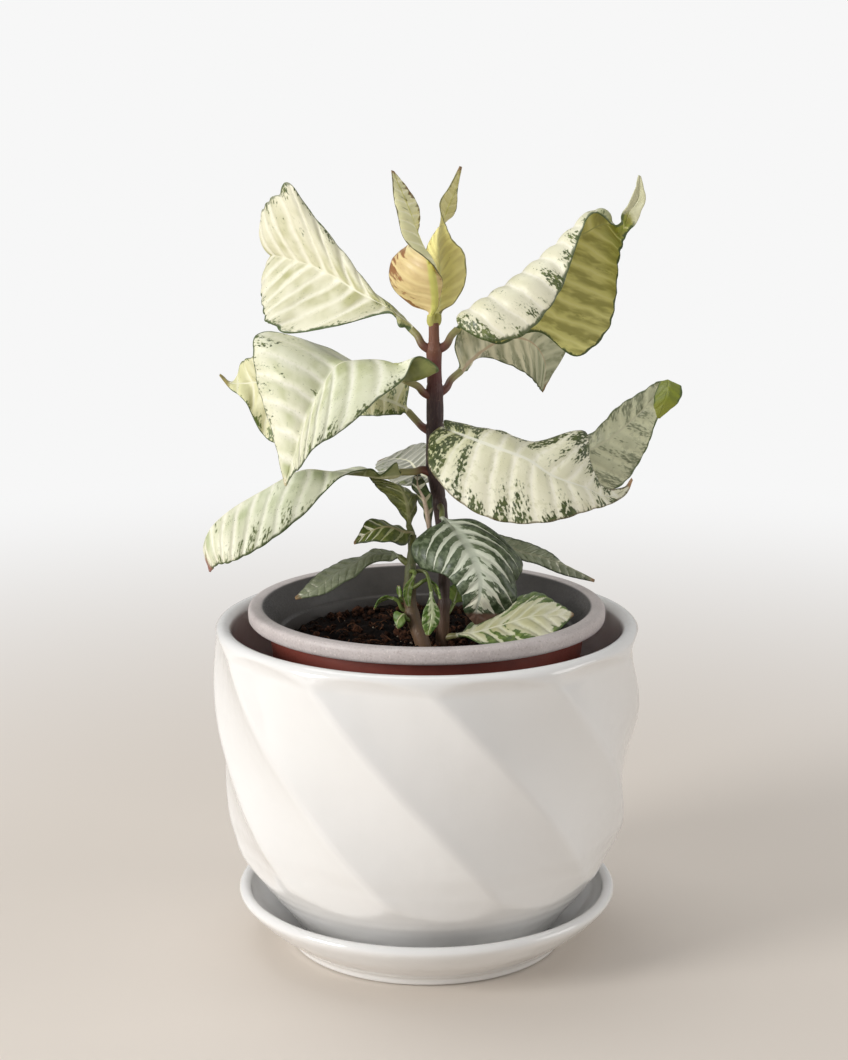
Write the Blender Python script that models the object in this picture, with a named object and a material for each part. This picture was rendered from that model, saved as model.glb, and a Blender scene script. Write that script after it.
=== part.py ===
"""A potted zebra plant with variegated leaves, in two nested nursery pots, a spiral-faceted
cachepot and its saucer.

Blender works in metres with +Z up. Sizes below are in millimetres and MM turns them into metres.
The origin lies on the table, under the middle of the saucer. The front of the plant faces -Y.
"""

import math

import bmesh
import bpy
import numpy as np
from mathutils import Vector, noise

MM = 0.001
CLEARANCE = 0.3
SIDES = 40

# Saucer
SAUCER_FOOT_RADIUS = 47.0
SAUCER_FLOOR = 6.0
SAUCER_RIM_RADIUS = 64.5
SAUCER_HEIGHT = 20.2
SAUCER_DISH_RADIUS = 48.0

# White cachepot with twisted facets
CACHEPOT_BASE = SAUCER_FLOOR + CLEARANCE
CACHEPOT_TOP = 112.2
CACHEPOT_MOUTH_RADIUS = 65.5
CACHEPOT_FLOOR = 11.5
CACHEPOT_DRAIN_RADIUS = 6.0
FACETS = 11
COLUMNS_PER_FACET = 4
TWIST_PER_MM = math.radians(0.72)
RIDGE_START = math.radians(-94.8)
RIDGE_START_HEIGHT = 70.0
FACET_TOP = 112.2
TOP_BAND = 7.0
FACET_KNEE = 36.0
FACET_KNEE_RADIUS = 65.3
FACET_SLOPE = 0.33

# Nested nursery pots
LIP_OUTER_RADIUS = 60.0
LIP_TOP = 118.0
LIP_BOTTOM = 112.6
LIP_INNER_RADIUS = 54.4
POT_WALL = 1.2
LINER_TOP_RADIUS = 51.9
LINER_STEP_HEIGHT = 108.5
LINER_STEP = 1.3
SLEEVE_TOP = LIP_BOTTOM - CLEARANCE
SLEEVE_BASE = CACHEPOT_FLOOR + CLEARANCE
SLEEVE_BASE_RADIUS = 40.0
SLEEVE_TOP_RADIUS = LINER_TOP_RADIUS + CLEARANCE + POT_WALL
NURSERY_DRAIN_RADIUS = 5.0

# Soil
SOIL_LEVEL = 104.5
SOIL_RELIEF = 1.1
SOIL_RINGS = (49.0, 42.0, 34.0, 26.0, 18.0, 10.0)

# Leaves
BLADE = 0.7
STALK_RADIUS = 1.2
KEEL = 0.7
TIP_HALF_WIDTH = 0.5
STALK_STATIONS = 3


def clear_scene():
    for obj in list(bpy.data.objects):
        bpy.data.objects.remove(obj, do_unlink=True)


def material(name, colour, roughness):
    made = bpy.data.materials.new(name)
    made.use_nodes = True
    shader = made.node_tree.nodes["Principled BSDF"]
    shader.inputs["Base Color"].default_value = (*colour, 1.0)
    shader.inputs["Roughness"].default_value = roughness
    shader.inputs["Metallic"].default_value = 0.0
    made.diffuse_color = (*colour, 1.0)
    return made


def add_object(name, bm, surface, sharp_degrees):
    bmesh.ops.recalc_face_normals(bm, faces=bm.faces)
    mesh = bpy.data.meshes.new(name)
    bm.to_mesh(mesh)
    bm.free()
    mesh.shade_smooth()
    mesh.set_sharp_from_angle(angle=math.radians(sharp_degrees))
    mesh.materials.append(surface)
    obj = bpy.data.objects.new(name, mesh)
    bpy.context.scene.collection.objects.link(obj)
    return obj


def add_band(bm, below, above, count):
    """Quads between two rings, each cut along the same diagonal on both faces of a blade."""
    for k in range(count):
        after = (k + 1) % count
        bm.faces.new((below[k], below[after], above[after]))
        bm.faces.new((below[k], above[after], above[k]))


def add_cap(bm, ring):
    middle = sum((vert.co for vert in ring), Vector()) / len(ring)
    hub = bm.verts.new(middle)
    for k, vert in enumerate(ring):
        bm.faces.new((vert, ring[(k + 1) % len(ring)], hub))


def loft(name, rings, surface, capped, sharp_degrees=60.0):
    """A solid through rings of points in mm. Uncapped, the last ring joins the first."""
    bm = bmesh.new()
    rows = [[bm.verts.new(Vector(point) * MM) for point in ring] for ring in rings]
    following = rows[1:] if capped else rows[1:] + rows[:1]
    for below, above in zip(rows, following):
        add_band(bm, below, above, len(below))
    if capped:
        add_cap(bm, rows[0])
        add_cap(bm, rows[-1])
    return add_object(name, bm, surface, sharp_degrees)


def circle(radius, height, sides=SIDES):
    turn = 2 * math.pi / sides
    return [(radius * math.cos(k * turn), radius * math.sin(k * turn), height) for k in range(sides)]


def turned(name, outline, surface):
    """A ring-shaped solid from a closed outline of (radius, height) points round the Z axis."""
    return loft(name, [circle(radius, height) for radius, height in outline], surface, False, 40.0)


def arc(centre_radius, centre_height, radius, height, start, end, steps):
    """Outline points on an ellipse arc, angles in degrees from the outward direction."""
    angles = [math.radians(start + (end - start) * k / steps) for k in range(steps + 1)]
    return [(centre_radius + radius * math.cos(a), centre_height + height * math.sin(a)) for a in angles]


def smooth_step(value):
    value = min(max(value, 0.0), 1.0)
    return value * value * (3 - 2 * value)


def make_saucer(surface):
    lip = 2.0
    # The flat base and the dish each close over the middle with a fan.
    outline = [
        (SAUCER_FOOT_RADIUS / 2, 0.0),
        (SAUCER_FOOT_RADIUS, 0.0),
        (SAUCER_FOOT_RADIUS + 0.5, 3.0),
        (52.0, 6.0),
        (58.5, 11.0),
        (SAUCER_RIM_RADIUS - 0.8, 16.5),
    ]
    outline += arc(SAUCER_RIM_RADIUS - lip, SAUCER_HEIGHT - lip, lip, lip, 0, 180, 6)
    outline += [
        (59.5, 14.5),
        (54.5, 9.5),
        (SAUCER_DISH_RADIUS, SAUCER_FLOOR),
        (SAUCER_DISH_RADIUS / 2, SAUCER_FLOOR),
    ]
    rings = [circle(radius, height) for radius, height in outline]
    return loft("saucer", rings, surface, True, 40.0)


# Round body of the cachepot, (height, radius), before its facets are cut
BODY = (
    (CACHEPOT_BASE, 43.0),
    (10.0, 46.5),
    (16.0, 51.0),
    (22.0, 55.6),
    (26.0, 58.6),
    (28.5, 60.5),
    (31.0, 62.4),
    (33.5, 64.2),
    (FACET_KNEE, FACET_KNEE_RADIUS),
    (44.0, 67.6),
    (54.0, 69.2),
    (66.0, 70.4),
    (80.0, 71.8),
    (92.0, 72.3),
    (103.5, 72.1),
    (106.5, 71.8),
    (109.0, 71.4),
)


def facet_radius(body, height, angle):
    """The body's radius where a twisted flat facet cuts it, at this height and angle."""
    step = 2 * math.pi / FACETS
    ridge = RIDGE_START + TWIST_PER_MM * (RIDGE_START_HEIGHT - height)
    off_middle = (angle - ridge) % step - step / 2
    flare = smooth_step((height - FACET_TOP + TOP_BAND) / TOP_BAND)
    # Below the knee the facets keep on steeply, and the round foot cuts them off in a zigzag.
    wide = body if height > FACET_KNEE else FACET_KNEE_RADIUS - FACET_SLOPE * (FACET_KNEE - height)
    corner = wide * (1 + flare * (1 / math.cos(step / 2) - 1))
    return min(body, corner * math.cos(step / 2) / math.cos(off_middle))


def make_cachepot(surface):
    columns = FACETS * COLUMNS_PER_FACET
    rings = []
    for height, body in BODY:
        start = RIDGE_START + TWIST_PER_MM * (RIDGE_START_HEIGHT - height)
        ring = []
        for k in range(columns):
            angle = start + 2 * math.pi * k / columns
            radius = facet_radius(body, height, angle)
            ring.append((radius * math.cos(angle), radius * math.sin(angle), height))
        rings.append(ring)

    # The rim, which the facets still cut a little, and the plain inside run on column by column.
    last = RIDGE_START + TWIST_PER_MM * (RIDGE_START_HEIGHT - BODY[-1][0])
    half_rim = (BODY[-1][1] - CACHEPOT_MOUTH_RADIUS) / 2
    rim_height = CACHEPOT_TOP - BODY[-1][0]
    inside = arc(BODY[-1][1] - half_rim, BODY[-1][0], half_rim, rim_height, 36, 180, 4)
    inside += [
        (CACHEPOT_MOUTH_RADIUS, 100.0),
        (64.5, 60.0),
        (60.0, 34.0),
        (52.0, 19.0),
        (46.0, CACHEPOT_FLOOR),
        (CACHEPOT_DRAIN_RADIUS, CACHEPOT_FLOOR),
        (CACHEPOT_DRAIN_RADIUS, CACHEPOT_BASE),
    ]
    for radius, height in inside:
        ring = []
        for k in range(columns):
            angle = last + 2 * math.pi * k / columns
            reach = min(radius, facet_radius(BODY[-1][1], height, angle))
            ring.append((reach * math.cos(angle), reach * math.sin(angle), height))
        rings.append(ring)
    return loft("cachepot", rings, surface, False, 14.0)


def sleeve_radius(height):
    """Outer radius of the brown sleeve pot, which tapers towards its base."""
    share = (height - SLEEVE_BASE) / (SLEEVE_TOP - SLEEVE_BASE)
    return SLEEVE_BASE_RADIUS + (SLEEVE_TOP_RADIUS - SLEEVE_BASE_RADIUS) * share


def make_sleeve(surface):
    floor = SLEEVE_BASE + POT_WALL
    outline = [
        (NURSERY_DRAIN_RADIUS, SLEEVE_BASE),
        (SLEEVE_BASE_RADIUS, SLEEVE_BASE),
        (sleeve_radius(60.0), 60.0),
        (SLEEVE_TOP_RADIUS, SLEEVE_TOP),
        (SLEEVE_TOP_RADIUS - POT_WALL, SLEEVE_TOP),
        (sleeve_radius(60.0) - POT_WALL, 60.0),
        (sleeve_radius(floor) - POT_WALL, floor),
        (NURSERY_DRAIN_RADIUS, floor),
    ]
    return turned("sleeve_pot", outline, surface)


def liner_radius(height):
    """Outer radius of the grey liner pot below its lip."""
    return sleeve_radius(height) - POT_WALL - CLEARANCE


def make_liner(surface):
    base = SLEEVE_BASE + POT_WALL + CLEARANCE
    floor = base + POT_WALL
    inner_step = liner_radius(LINER_STEP_HEIGHT) - POT_WALL
    lip_radius = (LIP_OUTER_RADIUS - LIP_INNER_RADIUS) / 2
    lip_middle = (LIP_OUTER_RADIUS + LIP_INNER_RADIUS) / 2
    lip_half = (LIP_TOP - LIP_BOTTOM) / 2
    outline = [
        (NURSERY_DRAIN_RADIUS, base),
        (liner_radius(base), base),
        (liner_radius(60.0), 60.0),
        (liner_radius(LIP_BOTTOM), LIP_BOTTOM),
    ]
    outline += arc(lip_middle, LIP_BOTTOM + lip_half, lip_radius, lip_half, -80, 160, 8)
    outline += [
        (liner_radius(LIP_BOTTOM) - POT_WALL + 0.4, LIP_BOTTOM),
        (inner_step, LINER_STEP_HEIGHT),
        (inner_step - LINER_STEP, LINER_STEP_HEIGHT - 0.4),
        (liner_radius(60.0) - POT_WALL - LINER_STEP, 60.0),
        (liner_radius(floor) - POT_WALL - LINER_STEP, floor),
        (NURSERY_DRAIN_RADIUS, floor),
    ]
    return turned("liner_pot", outline, surface)


def soil_height(x, y):
    broad = noise.noise(Vector((x * 0.11, y * 0.11, 3.7)))
    fine = noise.noise(Vector((x * 0.3, y * 0.3, 9.1)))
    return SOIL_LEVEL + SOIL_RELIEF * (broad + 0.6 * fine)


def make_soil(surface, wells):
    """Soil filling the liner, with a rough top and a plain well for each woody stem."""
    floor = SLEEVE_BASE + 2 * POT_WALL + 2 * CLEARANCE
    wall = liner_radius(SOIL_LEVEL) - POT_WALL - LINER_STEP - CLEARANCE
    foot = liner_radius(floor) - POT_WALL - LINER_STEP - CLEARANCE
    rings = [circle(foot * 0.5, floor), circle(foot, floor), circle(wall, SOIL_LEVEL - 2.0)]
    for radius in SOIL_RINGS:
        rings.append([(x, y, soil_height(x, y)) for x, y, _ in circle(min(radius, wall - 0.5), 0)])
    soil = loft("soil", rings, surface, True, 180.0)
    for k, (route, radius) in enumerate(wells):
        cutter = tube(f"stem_well_{k}", route, [radius + CLEARANCE] * len(route), surface, 14)
        cutter.hide_render = True
        cutter.display_type = "WIRE"
        cut = soil.modifiers.new(cutter.name, "BOOLEAN")
        cut.operation = "DIFFERENCE"
        cut.solver = "EXACT"
        cut.object = cutter
    return soil


def spline(points, share):
    """A smooth curve through points, read at share 0 to 1 of its rows."""
    points = np.asarray(points, float)
    padded = np.vstack([2 * points[0] - points[1], points, 2 * points[-1] - points[-2]])
    place = share * (len(points) - 1)
    k = min(int(place), len(points) - 2)
    t = place - k
    a, b, c, d = padded[k : k + 4]
    return 0.5 * (2 * b + (c - a) * t + (2 * a - 5 * b + 4 * c - d) * t**2 + (3 * b - a - 3 * c + d) * t**3)


def unit(vector):
    return vector / np.linalg.norm(vector)


def frames(path, side, from_end=False):
    """Tangent, side and upper direction at each path point, the side carried along it."""
    last = len(path) - 1
    order = range(last, -1, -1) if from_end else range(last + 1)
    result = [None] * (last + 1)
    for k in order:
        tangent = unit(path[min(k + 1, last)] - path[max(k - 1, 0)])
        side = unit(side - tangent * side.dot(tangent))
        result[k] = (tangent, side, np.cross(side, tangent))
    return result


def tube(name, route, radii, surface, sides, steps_per_leg=2):
    """A round stem through route points in mm, with one radius for each of them."""
    steps = (len(route) - 1) * steps_per_leg
    shares = [k / steps for k in range(steps + 1)]
    path = [spline(route, share) for share in shares]
    sizes = [spline([(radius,) for radius in radii], share)[0] for share in shares]
    rings = []
    for centre, size, (_, side, upper) in zip(path, sizes, frames(path, np.array((1.0, 0.0, 0.0)))):
        angles = [2 * math.pi * k / sides for k in range(sides)]
        rings.append([centre + size * (math.cos(a) * side + math.sin(a) * upper) for a in angles])
    return loft(name, rings, surface, True)


def half_point(rib, edge, tangent, bow, share, sign):
    """A point across half a blade: from rib to edge, arched to the upper side by bow."""
    across = edge - rib
    upper = np.cross(sign * across, tangent)
    length = np.linalg.norm(upper)
    upper = upper / length if length > 0 else upper
    return rib + across * share + upper * (4 * bow * share * (1 - share))


def blade_rows(leaf, points_per_half, stations_per_row):
    """Middle surface of a blade: rows of points from the left margin over the rib to the right."""
    base, tip = np.array(leaf["base"], float), np.array(leaf["tip"], float)
    rows = leaf["rows"]
    ribs = [base] + [np.array(row[1], float) for row in rows] + [tip]
    first = unit(np.array(rows[0][2], float) - np.array(rows[0][0], float))
    lefts = [base - first * leaf["stalk_radius"]] + [np.array(row[0], float) for row in rows]
    rights = [base + first * leaf["stalk_radius"]] + [np.array(row[2], float) for row in rows]
    last = unit(rights[-1] - lefts[-1]) * TIP_HALF_WIDTH
    lefts.append(tip - last)
    rights.append(tip + last)
    bows = [(0.0, 0.0)] + [row[3:5] for row in rows] + [(0.0, 0.0)]
    count = (len(ribs) - 1) * stations_per_row
    surface = []
    for station in range(count + 1):
        share = station / count
        rib, left, right = spline(ribs, share), spline(lefts, share), spline(rights, share)
        bow = spline(bows, share)
        step = 0.02
        tangent = unit(spline(ribs, min(share + step, 1)) - spline(ribs, max(share - step, 0)))
        wave = leaf["wave"] * math.sin(math.pi * share) * math.sin(2 * math.pi * leaf["waves"] * share)
        row = []
        for k in range(-points_per_half, points_per_half + 1):
            out = abs(k) / points_per_half
            edge, arch, sign = (left, bow[0], -1) if k < 0 else (right, bow[1], 1)
            point = half_point(rib, edge, tangent, arch, out, sign)
            lift = np.cross(sign * (edge - rib), tangent)
            lift = lift / max(np.linalg.norm(lift), 1e-6)
            row.append(point + lift * (wave * sign * out**2))
        surface.append(row)
    return np.array(surface)


def surface_normals(grid):
    """Unit normals on the upper side of a grid of rows."""
    along = np.gradient(grid, axis=0)
    across = np.gradient(grid, axis=1)
    normals = np.cross(across, along)
    return normals / np.maximum(np.linalg.norm(normals, axis=2, keepdims=True), 1e-9)


def leaf_rings(leaf):
    half = leaf["points_per_half"]
    grid = blade_rows(leaf, half, leaf["stations_per_row"])
    normals = surface_normals(grid)
    width = grid.shape[1]
    spread = [abs(k - half) / half for k in range(width)]
    rings = []
    for station, (points, ups) in enumerate(zip(grid, normals)):
        share = station / (len(grid) - 1)
        keel = [KEEL * leaf["stalk_radius"] * (1 - share) * math.exp(-((out * 4) ** 2)) for out in spread]
        top = [point + up * BLADE / 2 for point, up in zip(points, ups)]
        low = [point - up * (BLADE / 2 + deep) for point, up, deep in zip(points, ups, keel)]
        rings.append(top + low[::-1])

    # The stalk swaps the blade's flat section for a round one, point for point.
    route = [np.array(point, float) for point in leaf["stalk"]] + [np.array(leaf["base"], float)]
    path = [spline(route, k / STALK_STATIONS) for k in range(STALK_STATIONS + 1)]
    side = unit(grid[1][-1] - grid[1][0])
    radius = leaf["stalk_radius"]
    stalk = []
    for centre, (_, across, upper) in zip(path, frames(path, side, from_end=True)):
        turns = [math.radians(170 - 160 * k / (width - 1)) for k in range(width)]
        top = [centre + radius * (math.cos(a) * across + math.sin(a) * upper) for a in turns]
        low = [centre + radius * (math.cos(a) * across - math.sin(a) * upper) for a in turns]
        stalk.append(top + low[::-1])
    return stalk + rings[1:]


def make_leaf(name, leaf, surface):
    return loft(name, leaf_rings(leaf), surface, True, 75.0)


def large(stalk, base, tip, rows, stalk_radius=STALK_RADIUS):
    """rows run from base to tip: left margin, rib, right margin, bow of the left and right half."""
    return dict(
        stalk=stalk, base=base, tip=tip, rows=rows, stalk_radius=stalk_radius,
        wave=0.4, waves=4, points_per_half=3, stations_per_row=2,
    )


def medium(stalk, base, tip, rows, stalk_radius=0.9):
    shape = large(stalk, base, tip, rows, stalk_radius)
    shape["points_per_half"] = 2
    return shape


def sprout(stalk, route, half_width, side):
    """A young leaf along a route of rib points, as wide as its side direction says."""
    base, tip, inner = route[0], route[-1], route[1:-1]
    rows = []
    for k, rib in enumerate(inner):
        swell = half_width * math.sin(math.pi * (k + 1) / (len(inner) + 1)) ** 0.6
        left = tuple(rib[axis] - side[axis] * swell for axis in range(3))
        right = tuple(rib[axis] + side[axis] * swell for axis in range(3))
        rows.append((left, rib, right, 0, 0))
    shape = medium(stalk, base, tip, rows, stalk_radius=0.6)
    shape["wave"] = 0.0
    shape["stations_per_row"] = 1
    return shape


# Stem routes in mm, with the radius at each point

MAIN_STEM = (
    ((5, -3, 82), 2.2),
    ((5.2, -3, 105), 2.3),
    ((5.8, -3, 115), 1.9),
    ((5.8, -2, 123), 1.9),
    ((5.8, -1, 133), 2.0),
    ((5.1, 0, 145), 2.2),
    ((3.8, 1, 155), 2.4),
    ((2.4, 0, 165), 2.6),
    ((2.7, 0, 177), 2.8),
    ((2.7, 0, 187), 2.8),
    ((2.5, 0, 196), 2.4),
    ((2.4, 0, 203), 2.5),
    ((2.4, 0, 207), 1.8),
    ((2.3, 0, 212.5), 1.7),
)
SIDE_STEM = (
    ((1, -9, 88), 2.8),
    ((-0.9, -8, 104), 2.7),
    ((-3.9, -6, 112), 2.3),
    ((-5.6, -4, 119), 2.2),
    ((-5.6, -3, 128), 1.8),
    ((-4.9, -2, 135), 1.5),
    ((-4.9, -1, 141.5), 1.4),
)

LEAVES = {
    "leaf_crown_left": large(
        stalk=[(1.4, -0.6, 212.9)], base=(1.4, -1.2, 215), tip=(-11, -4, 262), stalk_radius=0.85,
        rows=[
            ((4, -2, 219), (3, -4, 220), (-5, 2, 218), 0, -1),
            ((5, -5, 227), (2, -8, 229), (-12, 3, 225), 0, -2),
            ((1, -12, 233), (1, -8, 234), (-11, 3, 233), 1, -2),
            ((-7, -12, 241), (-2, -7, 240), (-4, 2, 240), 1, -1),
            ((-10, -8, 250), (-6, -5, 250), (-2, -1, 248), 1, 0),
            ((-11, -5, 258), (-9, -4, 257), (-6, -2, 256), 0, 0),
        ],
    ),
    "leaf_crown_right": large(
        stalk=[(3.4, 0.8, 212.9)], base=(3.6, 1.2, 215), tip=(11, 2, 263), stalk_radius=0.85,
        rows=[
            ((9, 0, 219), (5, 4, 219), (2, 9, 219), -1, 0),
            ((13, 0, 227), (5, 6, 226), (1, 13, 227), -2, 0),
            ((12, -1, 235), (5, 7, 232), (0, 14, 234), -2, 0),
            ((8, -3, 241), (4, 6, 240), (3, 12, 242), -1, 0),
            ((4, 0, 250), (6, 4, 248), (9, 7, 247), 0, 0),
            ((7, 1, 256), (9, 3, 255), (10, 4, 255), 0, 0),
        ],
    ),
    "leaf_upper_left": large(
        stalk=[(-1.2, 0, 205), (-3, 1, 208)], base=(-5, 2, 210), tip=(-51, 60, 226),
        rows=[
            ((-9, 2, 211), (-9, 5, 214), (-9, 9, 215), 1, 0),
            ((-13, 5, 215), (-14, 9, 217), (-18, 13, 222), 0, 1),
            ((-29, 5, 211), (-23, 15, 221), (-29, 22, 235), -1, 1),
            ((-42, 15, 207), (-30, 21, 225), (-42, 26, 251), -1, 1),
            ((-48, 18, 207), (-33, 24, 226), (-45, 27, 255), -1, 1),
            ((-52, 22, 209), (-38, 28, 228), (-49, 31, 254), -1, 1),
            ((-55, 28, 210), (-43, 33, 229), (-54, 40, 249), 0, 2),
            ((-57, 46, 219), (-53, 46, 230), (-57, 50, 241), 1, 2),
        ],
    ),
    "leaf_upper_right": large(
        stalk=[(6.2, 0, 205), (8, 1, 208)], base=(10, 2, 210), tip=(69, 2, 260),
        rows=[
            ((15, 8, 208), (14, 5, 214), (11, -4, 211), 0, 3),
            ((24, 10, 204), (21, 7, 219), (20, -9, 208), 1, 7),
            ((37, 12, 208), (31, 10, 227), (32, -10, 210), 1, 8),
            ((50, 10, 200), (42, 12, 235), (42, -8, 222), 1, 7),
            ((61, 8, 211), (52, 12, 241), (48, -5, 237), 1, 5),
            ((63, 6, 232), (59, 10, 244), (54, 0, 248), 1, 3),
            ((65, 6, 240), (63, 7, 241), (62, 4, 244), 0, 0),
            ((68, 5, 244), (66, 5, 248), (64, 4, 248), 0, 0),
            ((71, 3, 252), (69, 4, 253), (67, 3, 254), 0, 0),
        ],
    ),
    "leaf_mid_left_front": large(
        stalk=[(-0.9, -1.5, 189.5), (-3, -3, 192)], base=(-7, -4, 194), tip=(-45, -34, 165),
        rows=[
            ((4, -9, 198), (-8, -5, 196), (-9, 2, 196), -4, 0),
            ((-3, -12, 203), (-11, -3, 199), (-12, 8, 196), -2, 0),
            ((-8, -16, 196), (-15, 0, 200), (-15, 16, 194), 1, 0),
            ((-16, -22, 190), (-22, 0, 200), (-21, 24, 194), 2, 0),
            ((-27, -29, 182), (-29, -4, 199), (-35, 18, 202), 2, 0),
            ((-35, -32, 177), (-34, -12, 193), (-55, 4, 209), 1, 2),
            ((-40, -34, 171), (-39, -21, 183), (-56, -4, 196), 1, 2),
            ((-42, -34, 169), (-42, -27, 174), (-50, -17, 179), 0, 1),
        ],
    ),
    "leaf_mid_left_back": large(
        stalk=[(-1.1, 1, 177.5), (-3, 3, 179)], base=(-6, 5, 182), tip=(-73, 54, 187),
        rows=[
            ((-9, 5, 181), (-10, 9, 184), (-6, 15, 190), 0, 0),
            ((-15, 9, 180), (-16, 15, 185), (-11, 25, 194), 0, 0),
            ((-25, 17, 178), (-30, 26, 186), (-32, 36, 195), 0, 1),
            ((-42, 28, 168), (-46, 36, 185), (-50, 44, 198), -1, 1),
            ((-55, 36, 167), (-58, 43, 186), (-62, 48, 194), -1, 1),
            ((-63, 42, 179), (-64, 47, 185), (-65, 50, 192), 0, 0),
            ((-69, 48, 183), (-69, 49, 185), (-68, 51, 185), 0, 0),
        ],
    ),
    "leaf_right_back_upper": large(
        stalk=[(6.3, 1.4, 190.5), (8, 4, 193)], base=(11, 8, 195), tip=(41, 49, 182),
        rows=[
            ((14, 12, 195), (14, 11, 198), (9, 9, 204), 0, 0),
            ((17, 20, 198), (20, 18, 202), (14, 14, 211), 0, -1),
            ((26, 30, 195), (28, 27, 204), (25, 24, 216), 0, -1),
            ((35, 41, 189), (36, 37, 201), (37, 36, 213), 0, -1),
            ((39, 46, 184), (41, 45, 193), (50, 47, 202), 0, 0),
        ],
    ),
    "leaf_mid_right_front": large(
        stalk=[(3.4, -4.2, 176.4)], base=(5, -6.5, 178), tip=(67, -14, 163),
        rows=[
            ((6, -5, 181), (8, -10, 178), (1, -12, 177), 1, 1),
            ((15, -6, 179), (14, -16, 177), (1, -21, 168), 1, 1),
            ((24, -8, 178), (22, -22, 175), (11, -29, 158), 2, 1),
            ((35, -13, 175), (32, -26, 172), (24, -33, 153), 1, 1),
            ((51, -12, 179), (40, -28, 167), (39, -34, 153), 2, 1),
            ((53, -17, 169), (50, -27, 163), (52, -30, 156), 1, 1),
            ((57, -21, 162), (58, -23, 159), (60, -24, 157), 0, 0),
            ((64, -17, 161), (64, -17, 160), (65, -18, 159), 0, 0),
        ],
    ),
    "leaf_mid_right_back": large(
        stalk=[(5.6, 1.4, 166), (11, 6, 164)], base=(17, 9, 162), tip=(79, 22, 177),
        rows=[
            ((28, 18, 166), (30, 14, 161), (35, 12, 154), 0, 0),
            ((40, 24, 169), (44, 20, 162), (51, 16, 151), 0, 0),
            ((56, 30, 170), (59, 25, 167), (66, 19, 154), 0, 0),
            ((66, 34, 179), (70, 31, 174), (75, 25, 165), 0, 0),
            ((77, 39, 185), (79, 36, 182), (80, 31, 176), 0, 0),
            ((80, 34, 188), (83, 34, 188), (88, 31, 186), 0, 0),
            ((78, 26, 184), (82, 26, 184), (86, 26, 183), 0, 0),
        ],
    ),
    "leaf_low_left": large(
        stalk=[(-1.3, -0.4, 163.5), (-4, -1, 163)], base=(-9, -2, 163), tip=(-71, -18, 133),
        rows=[
            ((-10, -5, 167), (-11, -3, 162), (-13, 3, 162), 0, 0),
            ((-15, -6, 163), (-15, -4, 162), (-17, 4, 162), 0, 0),
            ((-19, -10, 166), (-21, -5, 163), (-23, 6, 163), 0, 0),
            ((-29, -16, 163), (-31, -7, 164), (-34, 8, 161), 0, 0),
            ((-40, -22, 153), (-41, -10, 165), (-44, 8, 158), 2, 0),
            ((-53, -25, 143), (-53, -12, 159), (-57, 7, 152), 2, 0),
            ((-63, -25, 138), (-65, -14, 152), (-68, 3, 145), 2, 0),
            ((-68, -21, 136), (-72, -16, 144), (-74, -6, 139), 1, 0),
        ],
    ),
    "leaf_low_back": large(
        stalk=[(2.6, 3.9, 160)], base=(2, 6, 159), tip=(-17, 54, 156),
        rows=[
            ((-2, 12, 156), (1, 13, 158), (5, 14, 161), 0, 0),
            ((-11, 24, 154), (-3, 25, 158), (4, 26, 165), 0, 0),
            ((-16, 37, 155), (-6, 37, 159), (3, 39, 165), 0, 0),
            ((-18, 46, 155), (-11, 47, 158), (-4, 48, 163), 0, 0),
        ],
    ),
    "side_leaf_up_left": medium(
        stalk=[(-5.1, -0.8, 142.2)], base=(-6, 0, 144.5), tip=(-19, 1, 161),
        rows=[
            ((-9, -1, 149), (-6, -2, 149), (-4, 1, 148), 0, 0),
            ((-13, 0, 154), (-7, -3, 154), (-3, 2, 153), 0, 0),
            ((-17, 0, 158), (-10, -3, 159), (-6, 3, 156), 0, 0),
        ],
    ),
    "side_leaf_by_stem": medium(
        stalk=[(2.7, -2.6, 141)], base=(1, -8, 145), tip=(-3, 2, 162),
        rows=[
            ((-1, -7, 150), (0, -9, 150), (2, -8, 150), 0, 0),
            ((-3, -6, 155), (-1, -8, 155), (2, -7, 155), 0, 0),
            ((-5, -3, 159), (-3, -5, 159), (0, -4, 159), 0, 0),
        ],
    ),
    "side_leaf_left": medium(
        stalk=[(-4.6, -3.7, 140)], base=(-4.8, -5, 142.5), tip=(-24, -11, 141),
        rows=[
            ((-7, -10, 140), (-8, -7, 144), (-8, -2, 144), 0, 0),
            ((-13, -14, 142), (-13, -9, 146), (-13, -3, 146), 0, 0),
            ((-19, -14, 142), (-18, -11, 145), (-19, -6, 148), 0, 0),
        ],
    ),
    "side_leaf_low_left": medium(
        stalk=[(-7.8, -1.7, 133)], base=(-9, -1, 134), tip=(-44, -3, 120),
        rows=[
            ((-12, 0, 132), (-12, 2, 134), (-12, 4, 135), 0, 0),
            ((-17, 0, 132), (-18, 2, 134), (-18, 5, 135), 0, 0),
            ((-22, -2, 129), (-24, 2, 131), (-24, 6, 132), 0, 0),
            ((-27, -4, 126), (-30, 1, 128), (-31, 6, 130), 0, 0),
            ((-35, -5, 122), (-37, -2, 123), (-38, 2, 126), 0, 0),
        ],
    ),
    "side_leaf_front": medium(
        stalk=[(4.5, -2.15, 151.5), (5, -5, 151)], base=(5, -9, 149), tip=(16, -29, 118),
        rows=[
            ((16, -12, 149), (9, -15, 147), (0, -13, 146), 1, 1),
            ((26, -17, 143), (12, -21, 144), (-5, -16, 141), 2, 2),
            ((31, -21, 136), (15, -27, 140), (-2, -21, 135), 3, 3),
            ((29, -25, 131), (17, -30, 134), (6, -28, 134), 2, 1),
            ((29, -27, 126), (17, -31, 128), (11, -31, 128), 1, 0),
            ((25, -28, 122), (16, -30, 123), (12, -31, 123), 0, 0),
        ],
    ),
    "side_leaf_right": medium(
        stalk=[(7.6, 1.2, 140.6)], base=(13, 7, 140), tip=(58, 22, 120),
        rows=[
            ((23, 12, 139), (21, 10, 138), (22, 9, 135), 0, 0),
            ((32, 15, 136), (30, 13, 133), (32, 12, 130), 0, 0),
            ((41, 18, 132), (39, 16, 130), (39, 15, 127), 0, 0),
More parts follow.
